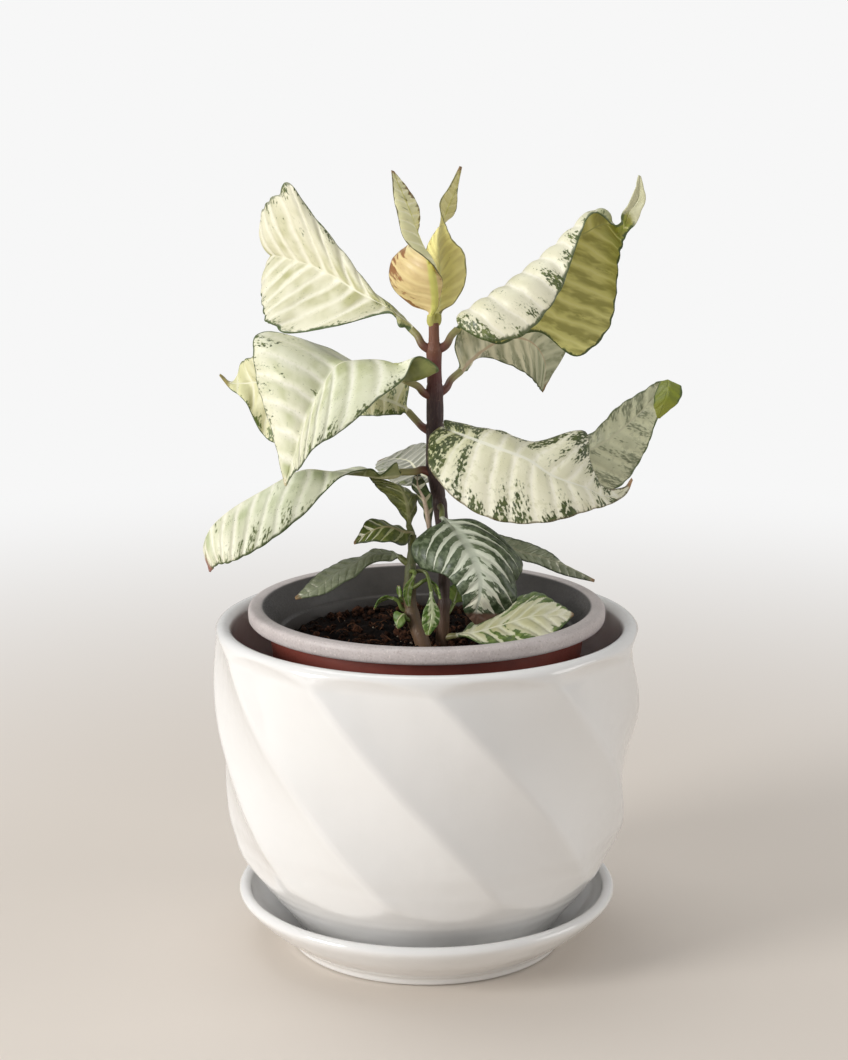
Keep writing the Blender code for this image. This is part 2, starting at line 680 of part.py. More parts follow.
            ((48, 20, 126), (48, 19, 126), (47, 18, 123), 0, 0),
        ],
    ),
    "side_leaf_in_pot": medium(
        stalk=[(7.8, -4.5, 107.3)], base=(10, -6, 108), tip=(49, -9, 116),
        rows=[
            ((15, -2, 111), (17, -9, 110), (18, -14, 107.5), 0, 0),
            ((28, 6, 116), (27, -9, 113), (26, -18, 108), 0, 0),
            ((36, 14, 118), (36, -7, 115), (35, -21, 110), 0, 0),
            ((44, 4, 117), (43, -7, 115), (42, -18, 112), 0, 0),
        ],
    ),
    "sprout_hanging": sprout(
        [(-2.6, -4.6, 130), (0, -7, 129.5)],
        [(1.5, -8, 124), (1.6, -10, 117.5), (1.2, -11, 113.5), (0.3, -12, 109.5)], 3.0, (-1, 0, 0),
    ),
    "sprout_strap": sprout(
        [(-3.4, -5.4, 125), (-1, -6.5, 127)],
        [(0.5, -6, 127.5), (2.6, -6.5, 125.5), (3.6, -7, 123.5), (4.6, -8, 121)], 1.3, (-0.6, 0.7, -0.4),
    ),
    "sprout_curled": sprout(
        [(-5, -5.2, 130), (-4, -7.5, 130.2)],
        [(-4.2, -9, 129.5), (-5.6, -10, 127), (-6.4, -10.5, 123.5), (-6.0, -10.5, 119)], 1.9, (-0.8, -0.6, 0),
    ),
    "sprout_round": sprout(
        [(-6.4, -7.6, 114), (-7.2, -8, 115)],
        [(-7.6, -8.5, 116), (-8.6, -9, 115.5), (-9.6, -9.3, 114), (-9.9, -9.6, 111.6)], 2.8, (0.6, -0.4, -0.6),
    ),
    "sprout_far": sprout(
        [(-8.2, -5, 117), (-9.4, -5, 119.5)],
        [(-11, -5, 120.6), (-13.4, -5, 120.9), (-16, -5, 119.5), (-17.6, -5, 116.8)], 1.5, (0, -0.7, 0.7),
    ),
    "sprout_upright": sprout(
        [(-8, -3.2, 119.5), (-8.6, -3, 120)],
        [(-8.8, -3, 120.8), (-9, -3, 121.8), (-9.2, -3, 123), (-9.4, -3, 124.5)], 1.0, (1, -0.3, 0),
    ),
    "sprout_behind": sprout(
        [(7.5, -1, 115), (8.3, 0.2, 116)],
        [(9, 1.2, 117), (9.8, 2, 119), (10.4, 2.6, 121.5), (11, 3, 124)], 3.2, (1, -0.2, -0.3),
    ),
}

# Plain colour of each leaf, read from the photograph
CREAM = (0.72, 0.74, 0.50)
YOUNG = (0.62, 0.58, 0.28)
PALE = (0.48, 0.53, 0.38)
GREEN = (0.10, 0.18, 0.07)
SHOOT = (0.22, 0.33, 0.08)
COLOURS = {
    "leaf_crown_left": YOUNG,
    "leaf_crown_right": YOUNG,
    "leaf_right_back_upper": PALE,
    "leaf_mid_right_back": PALE,
    "leaf_low_back": PALE,
    "side_leaf_low_left": PALE,
    "side_leaf_right": PALE,
    "side_leaf_in_pot": CREAM,
}


def leaf_colour(name):
    if name in COLOURS:
        return COLOURS[name]
    if name.startswith("side_leaf"):
        return GREEN
    return SHOOT if name.startswith("sprout") else CREAM


def build():
    clear_scene()
    glaze = (0.83, 0.82, 0.80)
    make_saucer(material("saucer_glaze", glaze, 0.18))
    make_cachepot(material("cachepot_glaze", glaze, 0.18))
    make_sleeve(material("sleeve_plastic", (0.16, 0.045, 0.03), 0.6))
    make_liner(material("liner_plastic", (0.23, 0.21, 0.20), 0.55))
    wells = []
    for name, stem, colour in (
        ("main_stem", MAIN_STEM, (0.09, 0.045, 0.04)),
        ("side_stem", SIDE_STEM, (0.14, 0.09, 0.06)),
    ):
        route = [point for point, _ in stem]
        radii = [radius for _, radius in stem]
        tube(name, route, radii, material(f"{name}_bark", colour, 0.6), 12)
        wells.append((route[:3], max(radii[:2])))
    make_soil(material("soil_peat", (0.035, 0.02, 0.014), 0.95), wells)
    for name, shape in LEAVES.items():
        make_leaf(name, shape, material(f"{name}_blade", leaf_colour(name), 0.45))


build()
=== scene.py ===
"""The looks of the potted zebra plant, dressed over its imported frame.

Sizes are in millimetres and MM turns them into metres. Colours are screen colours, 0 to 255, and
shade() turns them into the linear values that Blender works in. The plant's front faces -Y and
the saucer stands on the floor at Z = 0.
"""

import math
import random
from types import SimpleNamespace

import bmesh
import bpy
import numpy as np
from mathutils import Euler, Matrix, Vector, noise


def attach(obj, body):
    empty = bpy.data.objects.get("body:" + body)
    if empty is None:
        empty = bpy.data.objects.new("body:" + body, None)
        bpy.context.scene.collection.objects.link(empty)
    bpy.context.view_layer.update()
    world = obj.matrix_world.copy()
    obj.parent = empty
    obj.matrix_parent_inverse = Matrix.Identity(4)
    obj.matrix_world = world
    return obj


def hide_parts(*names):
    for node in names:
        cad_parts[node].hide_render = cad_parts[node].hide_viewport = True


MM = 0.001
BODY_NAME = "root"

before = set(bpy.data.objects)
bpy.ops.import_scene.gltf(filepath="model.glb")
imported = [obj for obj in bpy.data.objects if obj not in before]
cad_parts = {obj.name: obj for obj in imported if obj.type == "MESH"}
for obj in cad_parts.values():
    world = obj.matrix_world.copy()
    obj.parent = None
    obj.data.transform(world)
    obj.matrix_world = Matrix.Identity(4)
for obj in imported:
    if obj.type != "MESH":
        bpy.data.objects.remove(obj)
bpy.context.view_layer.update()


def add_object(name, data):
    added = bpy.data.objects.new(name, data)
    bpy.context.scene.collection.objects.link(added)
    return added


# Camera, as fitted to the round rims in the photograph

CAMERA_PLACE = (-0.0009, -0.7444, 0.3089)
CAMERA_PITCH = math.radians(90 - 12.57)
NEAREST_SEEN = 0.02
PHOTO_WIDTH = 848
FOCAL_PIXELS = 2282
SENSOR = 36.0


def add_camera():
    data = bpy.data.cameras.new("photo_camera")
    data.sensor_fit = "HORIZONTAL"
    data.sensor_width = SENSOR
    data.lens = FOCAL_PIXELS * SENSOR / PHOTO_WIDTH
    data.clip_start = NEAREST_SEEN
    camera = add_object("photo_camera", data)
    camera.location = CAMERA_PLACE
    camera.rotation_euler = (CAMERA_PITCH, 0, 0)
    bpy.context.scene.camera = camera


# Shading

def shade(red, green, blue):
    """A screen colour as linear values."""
    levels = [channel / 255 for channel in (red, green, blue)]
    return tuple(c / 12.92 if c <= 0.04045 else ((c + 0.055) / 1.055) ** 2.4 for c in levels)


class Field:
    """A value that a shader node gives. Arithmetic with it adds further nodes."""

    def __init__(self, surface, socket):
        self.surface = surface
        self.socket = socket

    def __add__(self, other):
        return self.surface.math("ADD", self, other)

    def __sub__(self, other):
        return self.surface.math("SUBTRACT", self, other)

    def __rsub__(self, other):
        return self.surface.math("SUBTRACT", other, self)

    def __mul__(self, other):
        return self.surface.math("MULTIPLY", self, other)

    def __truediv__(self, other):
        return self.surface.math("DIVIDE", self, other)


class Surface:
    """A Principled material with short calls for the nodes that drive it."""

    def __init__(self, name, roughness):
        self.material = bpy.data.materials.new(name)
        self.material.use_nodes = True
        self.nodes = self.material.node_tree.nodes
        self.links = self.material.node_tree.links
        self.shader = self.nodes["Principled BSDF"]
        self.give(Roughness=roughness)

    def put(self, socket, value):
        """Feeds a socket from a node, or sets it to a number or to a screen colour."""
        if isinstance(value, Field):
            self.links.new(value.socket, socket)
        elif isinstance(value, tuple):
            socket.default_value = (*shade(*value), 1.0)
        else:
            socket.default_value = value

    def give(self, **inputs):
        """Sets inputs of the shader, named with _ for a space."""
        for name, value in inputs.items():
            self.put(self.shader.inputs[name.replace("_", " ")], value)

    def node(self, kind, inputs, **settings):
        """A new node with these settings, and with inputs filled by number or name."""
        node = self.nodes.new("ShaderNode" + kind)
        for setting, value in settings.items():
            setattr(node, setting, value)
        for key, value in inputs.items():
            self.put(node.inputs[key], value)
        return node

    def math(self, operation, first, second=0.0):
        return Field(self, self.node("Math", {0: first, 1: second}, operation=operation).outputs[0])

    def largest(self, first, second):
        return self.math("MAXIMUM", first, second)

    def smooth(self, value, low, high, start=0.0, end=1.0):
        """Goes smoothly from start to end as value goes from low to high."""
        inputs = dict(enumerate((value, low, high, start, end)))
        return Field(self, self.node("MapRange", inputs, interpolation_type="SMOOTHSTEP").outputs[0])

    def mix(self, factor, first, second):
        node = self.node("Mix", {0: factor}, data_type="RGBA")
        colours = [socket for socket in node.inputs if socket.type == "RGBA"]
        self.put(colours[0], first)
        self.put(colours[1], second)
        return Field(self, next(socket for socket in node.outputs if socket.type == "RGBA"))

    def join(self, x, y, z):
        return Field(self, self.node("CombineXYZ", {0: x, 1: y, 2: z}).outputs[0])

    def parts(self, vector):
        """The x, y and z of a vector."""
        return [Field(self, output) for output in self.node("SeparateXYZ", {0: vector}).outputs]

    def attribute(self, name):
        """The three parts of a mesh's vector attribute."""
        source = self.node("Attribute", {}, attribute_name=name)
        return self.parts(Field(self, source.outputs["Vector"]))

    def place(self):
        """The point on the object in millimetres."""
        source = Field(self, self.node("TexCoord", {}).outputs["Object"])
        node = self.node("VectorMath", {0: source}, operation="SCALE")
        node.inputs["Scale"].default_value = 1 / MM
        return Field(self, node.outputs[0])

    def from_axis(self, x, y):
        return self.math("SQRT", x * x + y * y)

    def noise(self, vector, scale, detail=2.0, roughness=0.5):
        inputs = {"Vector": vector, "Scale": scale, "Detail": detail, "Roughness": roughness}
        return Field(self, self.node("TexNoise", inputs).outputs["Fac"])

    def bump(self, height, distance):
        """Bump whose height is in millimetres."""
        node = self.node("Bump", {"Distance": distance * MM, "Height": height})
        self.give(Normal=Field(self, node.outputs["Normal"]))


# Mesh building

def add_piece(name, points, faces, material, nodes):
    """A piece from points in mm and faces of point numbers, which stands for these frame nodes."""
    bm = bmesh.new()
    verts = [bm.verts.new((x * MM, y * MM, z * MM)) for x, y, z in points]
    for face in faces:
        bm.faces.new([verts[k] for k in face])
    bm.normal_update()
    mesh = bpy.data.meshes.new(name)
    bm.to_mesh(mesh)
    bm.free()
    mesh.shade_smooth()
    mesh.materials.append(material)
    piece = add_object(name, mesh)
    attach(piece, BODY_NAME)
    if nodes:
        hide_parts(*nodes)
    return piece


def ring_faces(rings, sides, closed=False, capped=False):
    """Faces of a grid of rings, wound to face outwards when the rings climb and run anticlockwise."""
    faces = []
    for row in range(rings if closed else rings - 1):
        low, high = row * sides, (row + 1) % rings * sides
        for k in range(sides):
            after = (k + 1) % sides
            faces.append((low + k, low + after, high + after, high + k))
    if capped:
        faces.append(tuple(range(sides - 1, -1, -1)))
        faces.append(tuple(range((rings - 1) * sides, rings * sides)))
    return faces


def circle(radius, height, sides):
    """Points evenly round the Z axis."""
    turns = [2 * math.pi * k / sides for k in range(sides)]
    return [(radius * math.cos(turn), radius * math.sin(turn), height) for turn in turns]


def spline(points, share):
    """A smooth curve through points, read at share 0 to 1 of its rows."""
    points = np.asarray(points, float)
    padded = np.vstack([2 * points[0] - points[1], points, 2 * points[-1] - points[-2]])
    place = share * (len(points) - 1)
    k = min(int(place), len(points) - 2)
    t = place - k
    a, b, c, d = padded[k : k + 4]
    return 0.5 * (2 * b + (c - a) * t + (2 * a - 5 * b + 4 * c - d) * t**2 + (3 * b - a - 3 * c + d) * t**3)


def unit(vector):
    return vector / np.linalg.norm(vector)


def smooth_step(value):
    value = min(max(value, 0.0), 1.0)
    return value * value * (3 - 2 * value)


def arc(centre_radius, centre_height, radius, height, start, end, steps, squareness=1.0):
    """Outline points on an ellipse arc, in degrees. A squareness below 1 flattens its sides."""
    def pulled(value):
        return math.copysign(abs(value) ** squareness, value)

    angles = [math.radians(start + (end - start) * k / steps) for k in range(steps + 1)]
    return [
        (centre_radius + radius * pulled(math.cos(a)), centre_height + height * pulled(math.sin(a)))
        for a in angles
    ]


def rounded(outline, radius, steps=4):
    """An outline with each corner turned into a short curve, at most radius long on each side."""
    result = [outline[0]]
    for before, corner, after in zip(outline, outline[1:], outline[2:]):
        before, corner, after = (np.array(point, float) for point in (before, corner, after))
        back, on = before - corner, after - corner
        start = corner + unit(back) * min(radius, np.linalg.norm(back) / 2.1)
        end = corner + unit(on) * min(radius, np.linalg.norm(on) / 2.1)
        for k in range(steps + 1):
            t = k / steps
            result.append(tuple((1 - t) ** 2 * start + 2 * t * (1 - t) * corner + t**2 * end))
    return result + [outline[-1]]


def turned_piece(name, outline, sides, material, node, capped=False):
    """A turned piece from an outline of (radius, height) points that runs anticlockwise."""
    points = [point for radius, height in outline for point in circle(radius, height, sides)]
    faces = ring_faces(len(outline), sides, not capped, capped)
    return add_piece(name, points, faces, material, [node])


# Saucer and cachepot, with the same outlines as the frame

ROUND_SIDES = 160
SAUCER_FOOT_RADIUS = 47.0
SAUCER_FLOOR = 6.0
SAUCER_RIM_RADIUS = 64.5
SAUCER_HEIGHT = 20.2
SAUCER_LIP = 2.0
SAUCER_CAP_RADIUS = 2.0
CACHEPOT_BASE = 6.3
CACHEPOT_TOP = 112.2
CACHEPOT_MOUTH_RADIUS = 65.5
CACHEPOT_FLOOR = 11.5
CACHEPOT_DRAIN_RADIUS = 6.0
FACETS = 11
FACET_ANGLE = 2 * math.pi / FACETS
COLUMNS_PER_FACET = 18
TWIST_PER_MM = math.radians(0.72)
RIDGE_START = math.radians(-94.8)
RIDGE_START_HEIGHT = 70.0
FACET_TOP = 112.2
TOP_BAND = 7.0
FACET_KNEE = 36.0
FACET_KNEE_RADIUS = 65.3
FACET_SLOPE = 0.33
RIDGE_SOFTNESS = 0.18
BODY = (
    (CACHEPOT_BASE, 43.0),
    (10.0, 46.5),
    (16.0, 51.0),
    (22.0, 55.6),
    (26.0, 58.6),
    (28.5, 60.5),
    (31.0, 62.4),
    (33.5, 64.2),
    (FACET_KNEE, FACET_KNEE_RADIUS),
    (44.0, 67.6),
    (54.0, 69.2),
    (66.0, 70.4),
    (80.0, 71.8),
    (92.0, 72.3),
    (103.5, 72.1),
    (106.5, 71.8),
    (109.0, 71.4),
)
BODY_STEP = 0.8


def glaze(name):
    """Thick white glaze, glossy, with faint waves, pits and a slightly warmer tone in places."""
    surface = Surface(name, 0.16)
    place = surface.place()
    broad = surface.noise(place, 0.03, 2.0)
    fine = surface.noise(place, 0.35, 3.0)
    white = surface.mix(broad, (238, 237, 236), (233, 232, 230))
    pits = surface.smooth(surface.noise(place, 1.6, 1.0), 0.78, 0.84)
    surface.give(
        Base_Color=surface.mix(pits * 0.25, white, (190, 183, 172)),
        Roughness=surface.smooth(fine, 0.3, 0.7, 0.10, 0.2),
        Coat_Weight=0.5,
        Coat_Roughness=0.06,
    )
    surface.bump(surface.noise(place, 0.08, 2.0) + fine * 0.06, 0.35)
    return surface.material


def make_saucer():
    lip_base = SAUCER_HEIGHT - SAUCER_LIP
    underside = [
        (SAUCER_CAP_RADIUS, 0.0),
        (SAUCER_FOOT_RADIUS, 0.0),
        (SAUCER_FOOT_RADIUS + 0.5, 3.0),
        (52.0, 6.0),
        (58.5, 11.0),
        (SAUCER_RIM_RADIUS - 0.8, 16.5),
        (SAUCER_RIM_RADIUS, lip_base),
    ]
    inside = [
        (SAUCER_RIM_RADIUS - 2 * SAUCER_LIP, lip_base),
        (59.5, 14.5),
        (54.5, 9.5),
        (48.0, SAUCER_FLOOR),
        (SAUCER_CAP_RADIUS, SAUCER_FLOOR),
    ]
    rim_middle = SAUCER_RIM_RADIUS - SAUCER_LIP
    rim = arc(rim_middle, lip_base, SAUCER_LIP, SAUCER_LIP, start=0, end=180, steps=14)
    outline = rounded(underside, radius=2.5)[:-1] + rim + rounded(inside, radius=4.0)[1:]
    glazed = glaze("saucer_white_glaze")
    return turned_piece("saucer_glazed", outline, ROUND_SIDES, glazed, "saucer", capped=True)


def ridge_angle(height):
    """The angle of the first ridge at this height."""
    return RIDGE_START + TWIST_PER_MM * (RIDGE_START_HEIGHT - height)


def facet_radius(body, height, angle):
    """The body's radius where soft-edged twisted facets cut it, at this height and angle."""
    off_middle = (angle - ridge_angle(height)) % FACET_ANGLE - FACET_ANGLE / 2
    flare = smooth_step((height - FACET_TOP + TOP_BAND) / TOP_BAND)
    # Below the knee the facets keep on steeply, and the round foot cuts them off in a zigzag.
    wide = body if height > FACET_KNEE else FACET_KNEE_RADIUS - FACET_SLOPE * (FACET_KNEE - height)
    flat = wide * (1 + flare * (1 / math.cos(FACET_ANGLE / 2) - 1)) * math.cos(FACET_ANGLE / 2)
    limits = [flat / math.cos(off_middle + shift * FACET_ANGLE) for shift in (-1, 0, 1)] + [body]
    # A soft minimum rounds the ridges and the ends of the facets, as glaze does.
    return -RIDGE_SOFTNESS * math.log(sum(math.exp(-limit / RIDGE_SOFTNESS) for limit in limits))


def body_radius(height):
    """The round body's radius at this height, on a smooth curve through BODY."""
    for k in range(len(BODY) - 1):
        if height <= BODY[k + 1][0]:
            share = (height - BODY[k][0]) / (BODY[k + 1][0] - BODY[k][0])
            return spline(BODY, (k + share) / (len(BODY) - 1))[1]
    return BODY[-1][1]


def cut_ring(start, radius, body, height):
    """A ring of points from a ridge's angle on, cut by the body's facets where they are narrower."""
    columns = FACETS * COLUMNS_PER_FACET
    ring = []
    for k in range(columns):
        angle = start + 2 * math.pi * k / columns
        reach = min(radius, facet_radius(body, height, angle))
        ring.append((reach * math.cos(angle), reach * math.sin(angle), height))
    return ring


def make_cachepot():
    shoulder, shoulder_radius = BODY[-1]
    steps = round((shoulder - CACHEPOT_BASE) / BODY_STEP)
    points = []
    for row in range(steps + 1):
        height = CACHEPOT_BASE + (shoulder - CACHEPOT_BASE) * row / steps
        body = body_radius(height)
        points += cut_ring(ridge_angle(height), body, body, height)

    half_rim = (shoulder_radius - CACHEPOT_MOUTH_RADIUS) / 2
    rim_middle, rim_height = shoulder_radius - half_rim, CACHEPOT_TOP - shoulder
    rim = arc(rim_middle, shoulder, half_rim, rim_height, start=14, end=180, steps=12)
    inside = [
        (CACHEPOT_MOUTH_RADIUS, 106.0),
        (CACHEPOT_MOUTH_RADIUS, 100.0),
        (64.5, 60.0),
        (60.0, 34.0),
        (52.0, 19.0),
        (46.0, CACHEPOT_FLOOR),
        (CACHEPOT_DRAIN_RADIUS, CACHEPOT_FLOOR),
        (CACHEPOT_DRAIN_RADIUS, CACHEPOT_BASE),
    ]
    outline = rim + rounded(inside, radius=3.0)
    for radius, height in outline:
        points += cut_ring(ridge_angle(shoulder), radius, shoulder_radius, height)
    faces = ring_faces(steps + 1 + len(outline), FACETS * COLUMNS_PER_FACET, closed=True)
    glazed = glaze("cachepot_white_glaze")
    return add_piece("cachepot_glazed", points, faces, glazed, ["cachepot"])


# Nested nursery pots

LIP_OUTER_RADIUS = 60.0
LIP_TOP = 118.0
LIP_BOTTOM = 112.6
LIP_INNER_RADIUS = 54.4
LIP_SQUARENESS = 0.62
POT_WALL = 1.2
CLEARANCE = 0.3
LINER_TOP_RADIUS = 51.9
LINER_STEP_HEIGHT = 108.5
LINER_STEP = 1.3
SLEEVE_SIDES = 120
SLEEVE_TOP = LIP_BOTTOM - CLEARANCE
SLEEVE_BASE = CACHEPOT_FLOOR + CLEARANCE
SLEEVE_BASE_RADIUS = 40.0
SLEEVE_TOP_RADIUS = LINER_TOP_RADIUS + CLEARANCE + POT_WALL
NURSERY_DRAIN_RADIUS = 5.0
MIDDLE_HEIGHT = 60.0


def sleeve_radius(height):
    share = (height - SLEEVE_BASE) / (SLEEVE_TOP - SLEEVE_BASE)
    return SLEEVE_BASE_RADIUS + (SLEEVE_TOP_RADIUS - SLEEVE_BASE_RADIUS) * share


def liner_radius(height):
    return sleeve_radius(height) - POT_WALL - CLEARANCE


def sleeve_plastic():
    surface = Surface("red_brown_plastic", 0.5)
    place = surface.place()
    grain = surface.noise(place, 1.2, 3.0, 0.6)
    smear = surface.noise(place, 0.12, 2.0)
    brown = surface.mix(smear, (140, 64, 50), (112, 50, 40))
    dust = surface.smooth(grain, 0.6, 0.75)
    surface.give(
        Base_Color=surface.mix(dust * 0.2, brown, (140, 104, 90)),
        Roughness=surface.smooth(grain, 0.3, 0.7, 0.4, 0.6),
    )
    surface.bump(grain, 0.08)
    return surface.material


def liner_plastic():
    """Grey moulded plastic: a light scuffed lip, and an inside painted much darker as painted shade, which
    goes darker and browner again below the step.
    """
    surface = Surface("grey_plastic", 0.45)
    place = surface.place()
    x, y, height = surface.parts(place)
    cloud = surface.noise(place, 0.14, 3.0, 0.6)
    grain = surface.noise(place, 1.4, 3.0, 0.65)
    lip = surface.mix(cloud, (212, 204, 202), (180, 170, 168))
    lip = surface.mix(surface.smooth(grain, 0.56, 0.72, 0.0, 0.55), lip, (236, 226, 220))
    lip = surface.mix(surface.smooth(grain, 0.46, 0.30, 0.0, 0.5), lip, (150, 134, 126))
    # The inside is the same grey plastic, painted much darker than the lip as painted shade inside the pot.
    inside = surface.mix(cloud, (84, 80, 78), (62, 59, 57))
    # Below the step the inside is painted darker and browner again, towards the soil.
    below_step = surface.smooth(height + grain * 5.0, LINER_STEP_HEIGHT + 2.0, LINER_STEP_HEIGHT - 2.0)
    inside = surface.mix(below_step * 0.7, inside, (44, 34, 28))
    above = surface.smooth(height, LIP_BOTTOM - 0.4, LIP_BOTTOM + 0.4)
    outside = surface.smooth(surface.from_axis(x, y), LIP_INNER_RADIUS + 0.5, LIP_INNER_RADIUS + 1.3)
    surface.give(
        Base_Color=surface.mix(above * outside, inside, lip),
        Roughness=surface.smooth(grain, 0.3, 0.7, 0.35, 0.6),
    )
    surface.bump(grain, 0.06)
    return surface.material


def make_sleeve():
    floor = SLEEVE_BASE + POT_WALL
    outline = rounded([
        (NURSERY_DRAIN_RADIUS, SLEEVE_BASE),
        (SLEEVE_BASE_RADIUS, SLEEVE_BASE),
        (sleeve_radius(MIDDLE_HEIGHT), MIDDLE_HEIGHT),
        (SLEEVE_TOP_RADIUS, SLEEVE_TOP),
        (SLEEVE_TOP_RADIUS - POT_WALL, SLEEVE_TOP),
        (sleeve_radius(MIDDLE_HEIGHT) - POT_WALL, MIDDLE_HEIGHT),
        (sleeve_radius(floor) - POT_WALL, floor),
        (NURSERY_DRAIN_RADIUS, floor),
    ], radius=0.5, steps=2)
    return turned_piece("sleeve_pot_moulded", outline, SLEEVE_SIDES, sleeve_plastic(), "sleeve_pot")


def make_liner():
    base = SLEEVE_BASE + POT_WALL + CLEARANCE
    floor = base + POT_WALL
    inner_step = liner_radius(LINER_STEP_HEIGHT) - POT_WALL
    lip_radius = (LIP_OUTER_RADIUS - LIP_INNER_RADIUS) / 2
    lip_middle = (LIP_OUTER_RADIUS + LIP_INNER_RADIUS) / 2
    lip_half = (LIP_TOP - LIP_BOTTOM) / 2
    outside = [
        (NURSERY_DRAIN_RADIUS, base),
        (liner_radius(base), base),
        (liner_radius(MIDDLE_HEIGHT), MIDDLE_HEIGHT),
        (liner_radius(LIP_BOTTOM), LIP_BOTTOM),
    ]
    inside = [
        (liner_radius(LIP_BOTTOM) - POT_WALL + 0.4, LIP_BOTTOM),
        (inner_step, LINER_STEP_HEIGHT),
        (inner_step - LINER_STEP, LINER_STEP_HEIGHT - 0.4),
        (liner_radius(MIDDLE_HEIGHT) - POT_WALL - LINER_STEP, MIDDLE_HEIGHT),
        (liner_radius(floor) - POT_WALL - LINER_STEP, floor),
        (NURSERY_DRAIN_RADIUS, floor),
    ]
    lip = arc(
        lip_middle, LIP_BOTTOM + lip_half, lip_radius, lip_half,
        start=-80, end=160, steps=24, squareness=LIP_SQUARENESS,
    )
    outline = rounded(outside, radius=0.5, steps=2) + lip + rounded(inside, radius=0.4, steps=2)
    return turned_piece("liner_pot_moulded", outline, ROUND_SIDES, liner_plastic(), "liner_pot")


# Soil

SOIL_LEVEL = 104.5
SOIL_RELIEF = 1.1
SOIL_COLUMNS = 150
SOIL_ROWS = 60
SOIL_CENTRE = 0.3
SOIL_SHOULDER = 3.0
CRUMB_RELIEF = 0.9
LUMP_SIDES = 7
CRUMBS = 900
CHUNKS = 90
FIBRES = 150
FIBRE_STEPS = 5
GRIT = 50
LITTER_SEED = 7
LITTER_MARGIN = 2.5
FIBRE_MARGIN = 3.0


def soil_height(x, y):
    """The soil's height with its crumbs, which rise above and sink below the plain height."""
    broad = noise.noise(Vector((x * 0.11, y * 0.11, 3.7)))
    fine = noise.noise(Vector((x * 0.3, y * 0.3, 9.1)))
    crumbs = noise.fractal(Vector((x * 0.55, y * 0.55, 1.3)), 1.0, 2.0, 4)
    return SOIL_LEVEL + SOIL_RELIEF * (broad + 0.6 * fine) + CRUMB_RELIEF * crumbs


def soil_wall(height):
    """The radius that the soil fills the grey pot to at this height."""
    return liner_radius(height) - POT_WALL - LINER_STEP - CLEARANCE


def peat(name, light, dark):
    surface = Surface(name, 0.9)
    place = surface.place()
    crumbs = surface.noise(place, 0.7, 4.0, 0.7)
    patches = surface.noise(place, 0.09, 2.0)
    brown = surface.mix(surface.smooth(crumbs, 0.35, 0.65), dark, light)
    patchy = surface.mix(surface.smooth(patches, 0.4, 0.7, 0.0, 0.5), brown, dark)
    surface.give(Base_Color=patchy, Specular_IOR_Level=0.1)
    surface.bump(crumbs, 0.5)
    return surface.material


def make_soil():
    floor = SLEEVE_BASE + 2 * POT_WALL + 2 * CLEARANCE
    wall, foot = soil_wall(SOIL_LEVEL), soil_wall(floor)
    points = []
    for radius, height in ((foot * 0.5, floor), (foot, floor), (wall, SOIL_LEVEL - SOIL_SHOULDER)):
        points += circle(radius, height, SOIL_COLUMNS)
    for row in range(SOIL_ROWS):
        radius = wall * (1 - row / SOIL_ROWS) + SOIL_CENTRE * row / SOIL_ROWS
        points += [(x, y, soil_height(x, y)) for x, y, _ in circle(radius, 0, SOIL_COLUMNS)]
    faces = ring_faces(3 + SOIL_ROWS, SOIL_COLUMNS, capped=True)
    # The peat's own dark brown is painted darker still, as painted shade inside the pot.
    material = peat("peat", (26, 17, 13), (6, 4, 3))
    return add_piece("soil_bed", points, faces, material, ["soil"])


def scattered(rng, reach):
    """A random point on the soil, evenly spread over its disc."""
    radius = reach * math.sqrt(rng.random())
    turn = rng.uniform(0, 2 * math.pi)
    x, y = radius * math.cos(turn), radius * math.sin(turn)
    return x, y, soil_height(x, y)


def lump(rng, centre, size, rise):
    """Points and faces of one rough crumb, an uneven double cone of three rings."""
    sides = LUMP_SIDES
    stretch = Vector((rng.uniform(0.6, 1.4), rng.uniform(0.6, 1.4), rng.uniform(0.5, 1.0)))
    turn = Euler([rng.uniform(0, 2 * math.pi) for _ in range(3)])
    points = [(0, 0, -1)]
    for height, width in ((-0.6, 0.75), (0.0, 1.0), (0.6, 0.75)):
        for k in range(sides):
            angle = 2 * math.pi * k / sides
            out = width * rng.uniform(0.75, 1.2)
            points.append((out * math.cos(angle), out * math.sin(angle), height * rng.uniform(0.8, 1.2)))
    points.append((0, 0, 1))
    placed = []
    for point in points:
        spot = Vector(point) * stretch
        spot.rotate(turn)
        up = spot.z + rise
        placed.append((centre[0] + size * spot.x, centre[1] + size * spot.y, centre[2] + size * up))
    faces = [(0, 1 + (k + 1) % sides, 1 + k) for k in range(sides)]
    faces += [tuple(1 + k for k in face) for face in ring_faces(3, sides)]
    faces += [(1 + 2 * sides + k, 1 + 2 * sides + (k + 1) % sides, 1 + 3 * sides) for k in range(sides)]
    return placed, faces


def wire(route, radius, sides=5):
    """Points and faces of a thin round strand through route points in mm."""
    points = []
    for k, centre in enumerate(route):
        before, after = route[max(k - 1, 0)], route[min(k + 1, len(route) - 1)]
        tangent = (Vector(after) - Vector(before)).normalized()
        side = tangent.cross(Vector((0.31, 0.17, 0.93))).normalized()
        upper = side.cross(tangent)
        thin = radius * (0.45 if k in (0, len(route) - 1) else 1.0)
        for j in range(sides):
            angle = 2 * math.pi * j / sides
            spot = Vector(centre) + side * thin * math.cos(angle) + upper * thin * math.sin(angle)
            points.append(tuple(spot))
    return points, ring_faces(len(route), sides, capped=True)


def fibre(rng, reach):
    """Points and faces of one bent fibre that arches over the soil."""
    x, y, z = scattered(rng, reach)
    heading = rng.uniform(0, 2 * math.pi)
    length = rng.uniform(2.0, 7.0)
    bend = rng.uniform(-1.2, 1.2)
    rise = rng.uniform(0.1, 1.4)
    route = []
    for k in range(FIBRE_STEPS + 1):
        share = k / FIBRE_STEPS
        turn = heading + bend * share
        route.append((
            x + length * (share - 0.5) * math.cos(turn),
            y + length * (share - 0.5) * math.sin(turn),
            z + 0.3 + rise * math.sin(math.pi * share),
        ))
    return wire(route, rng.uniform(0.1, 0.24))


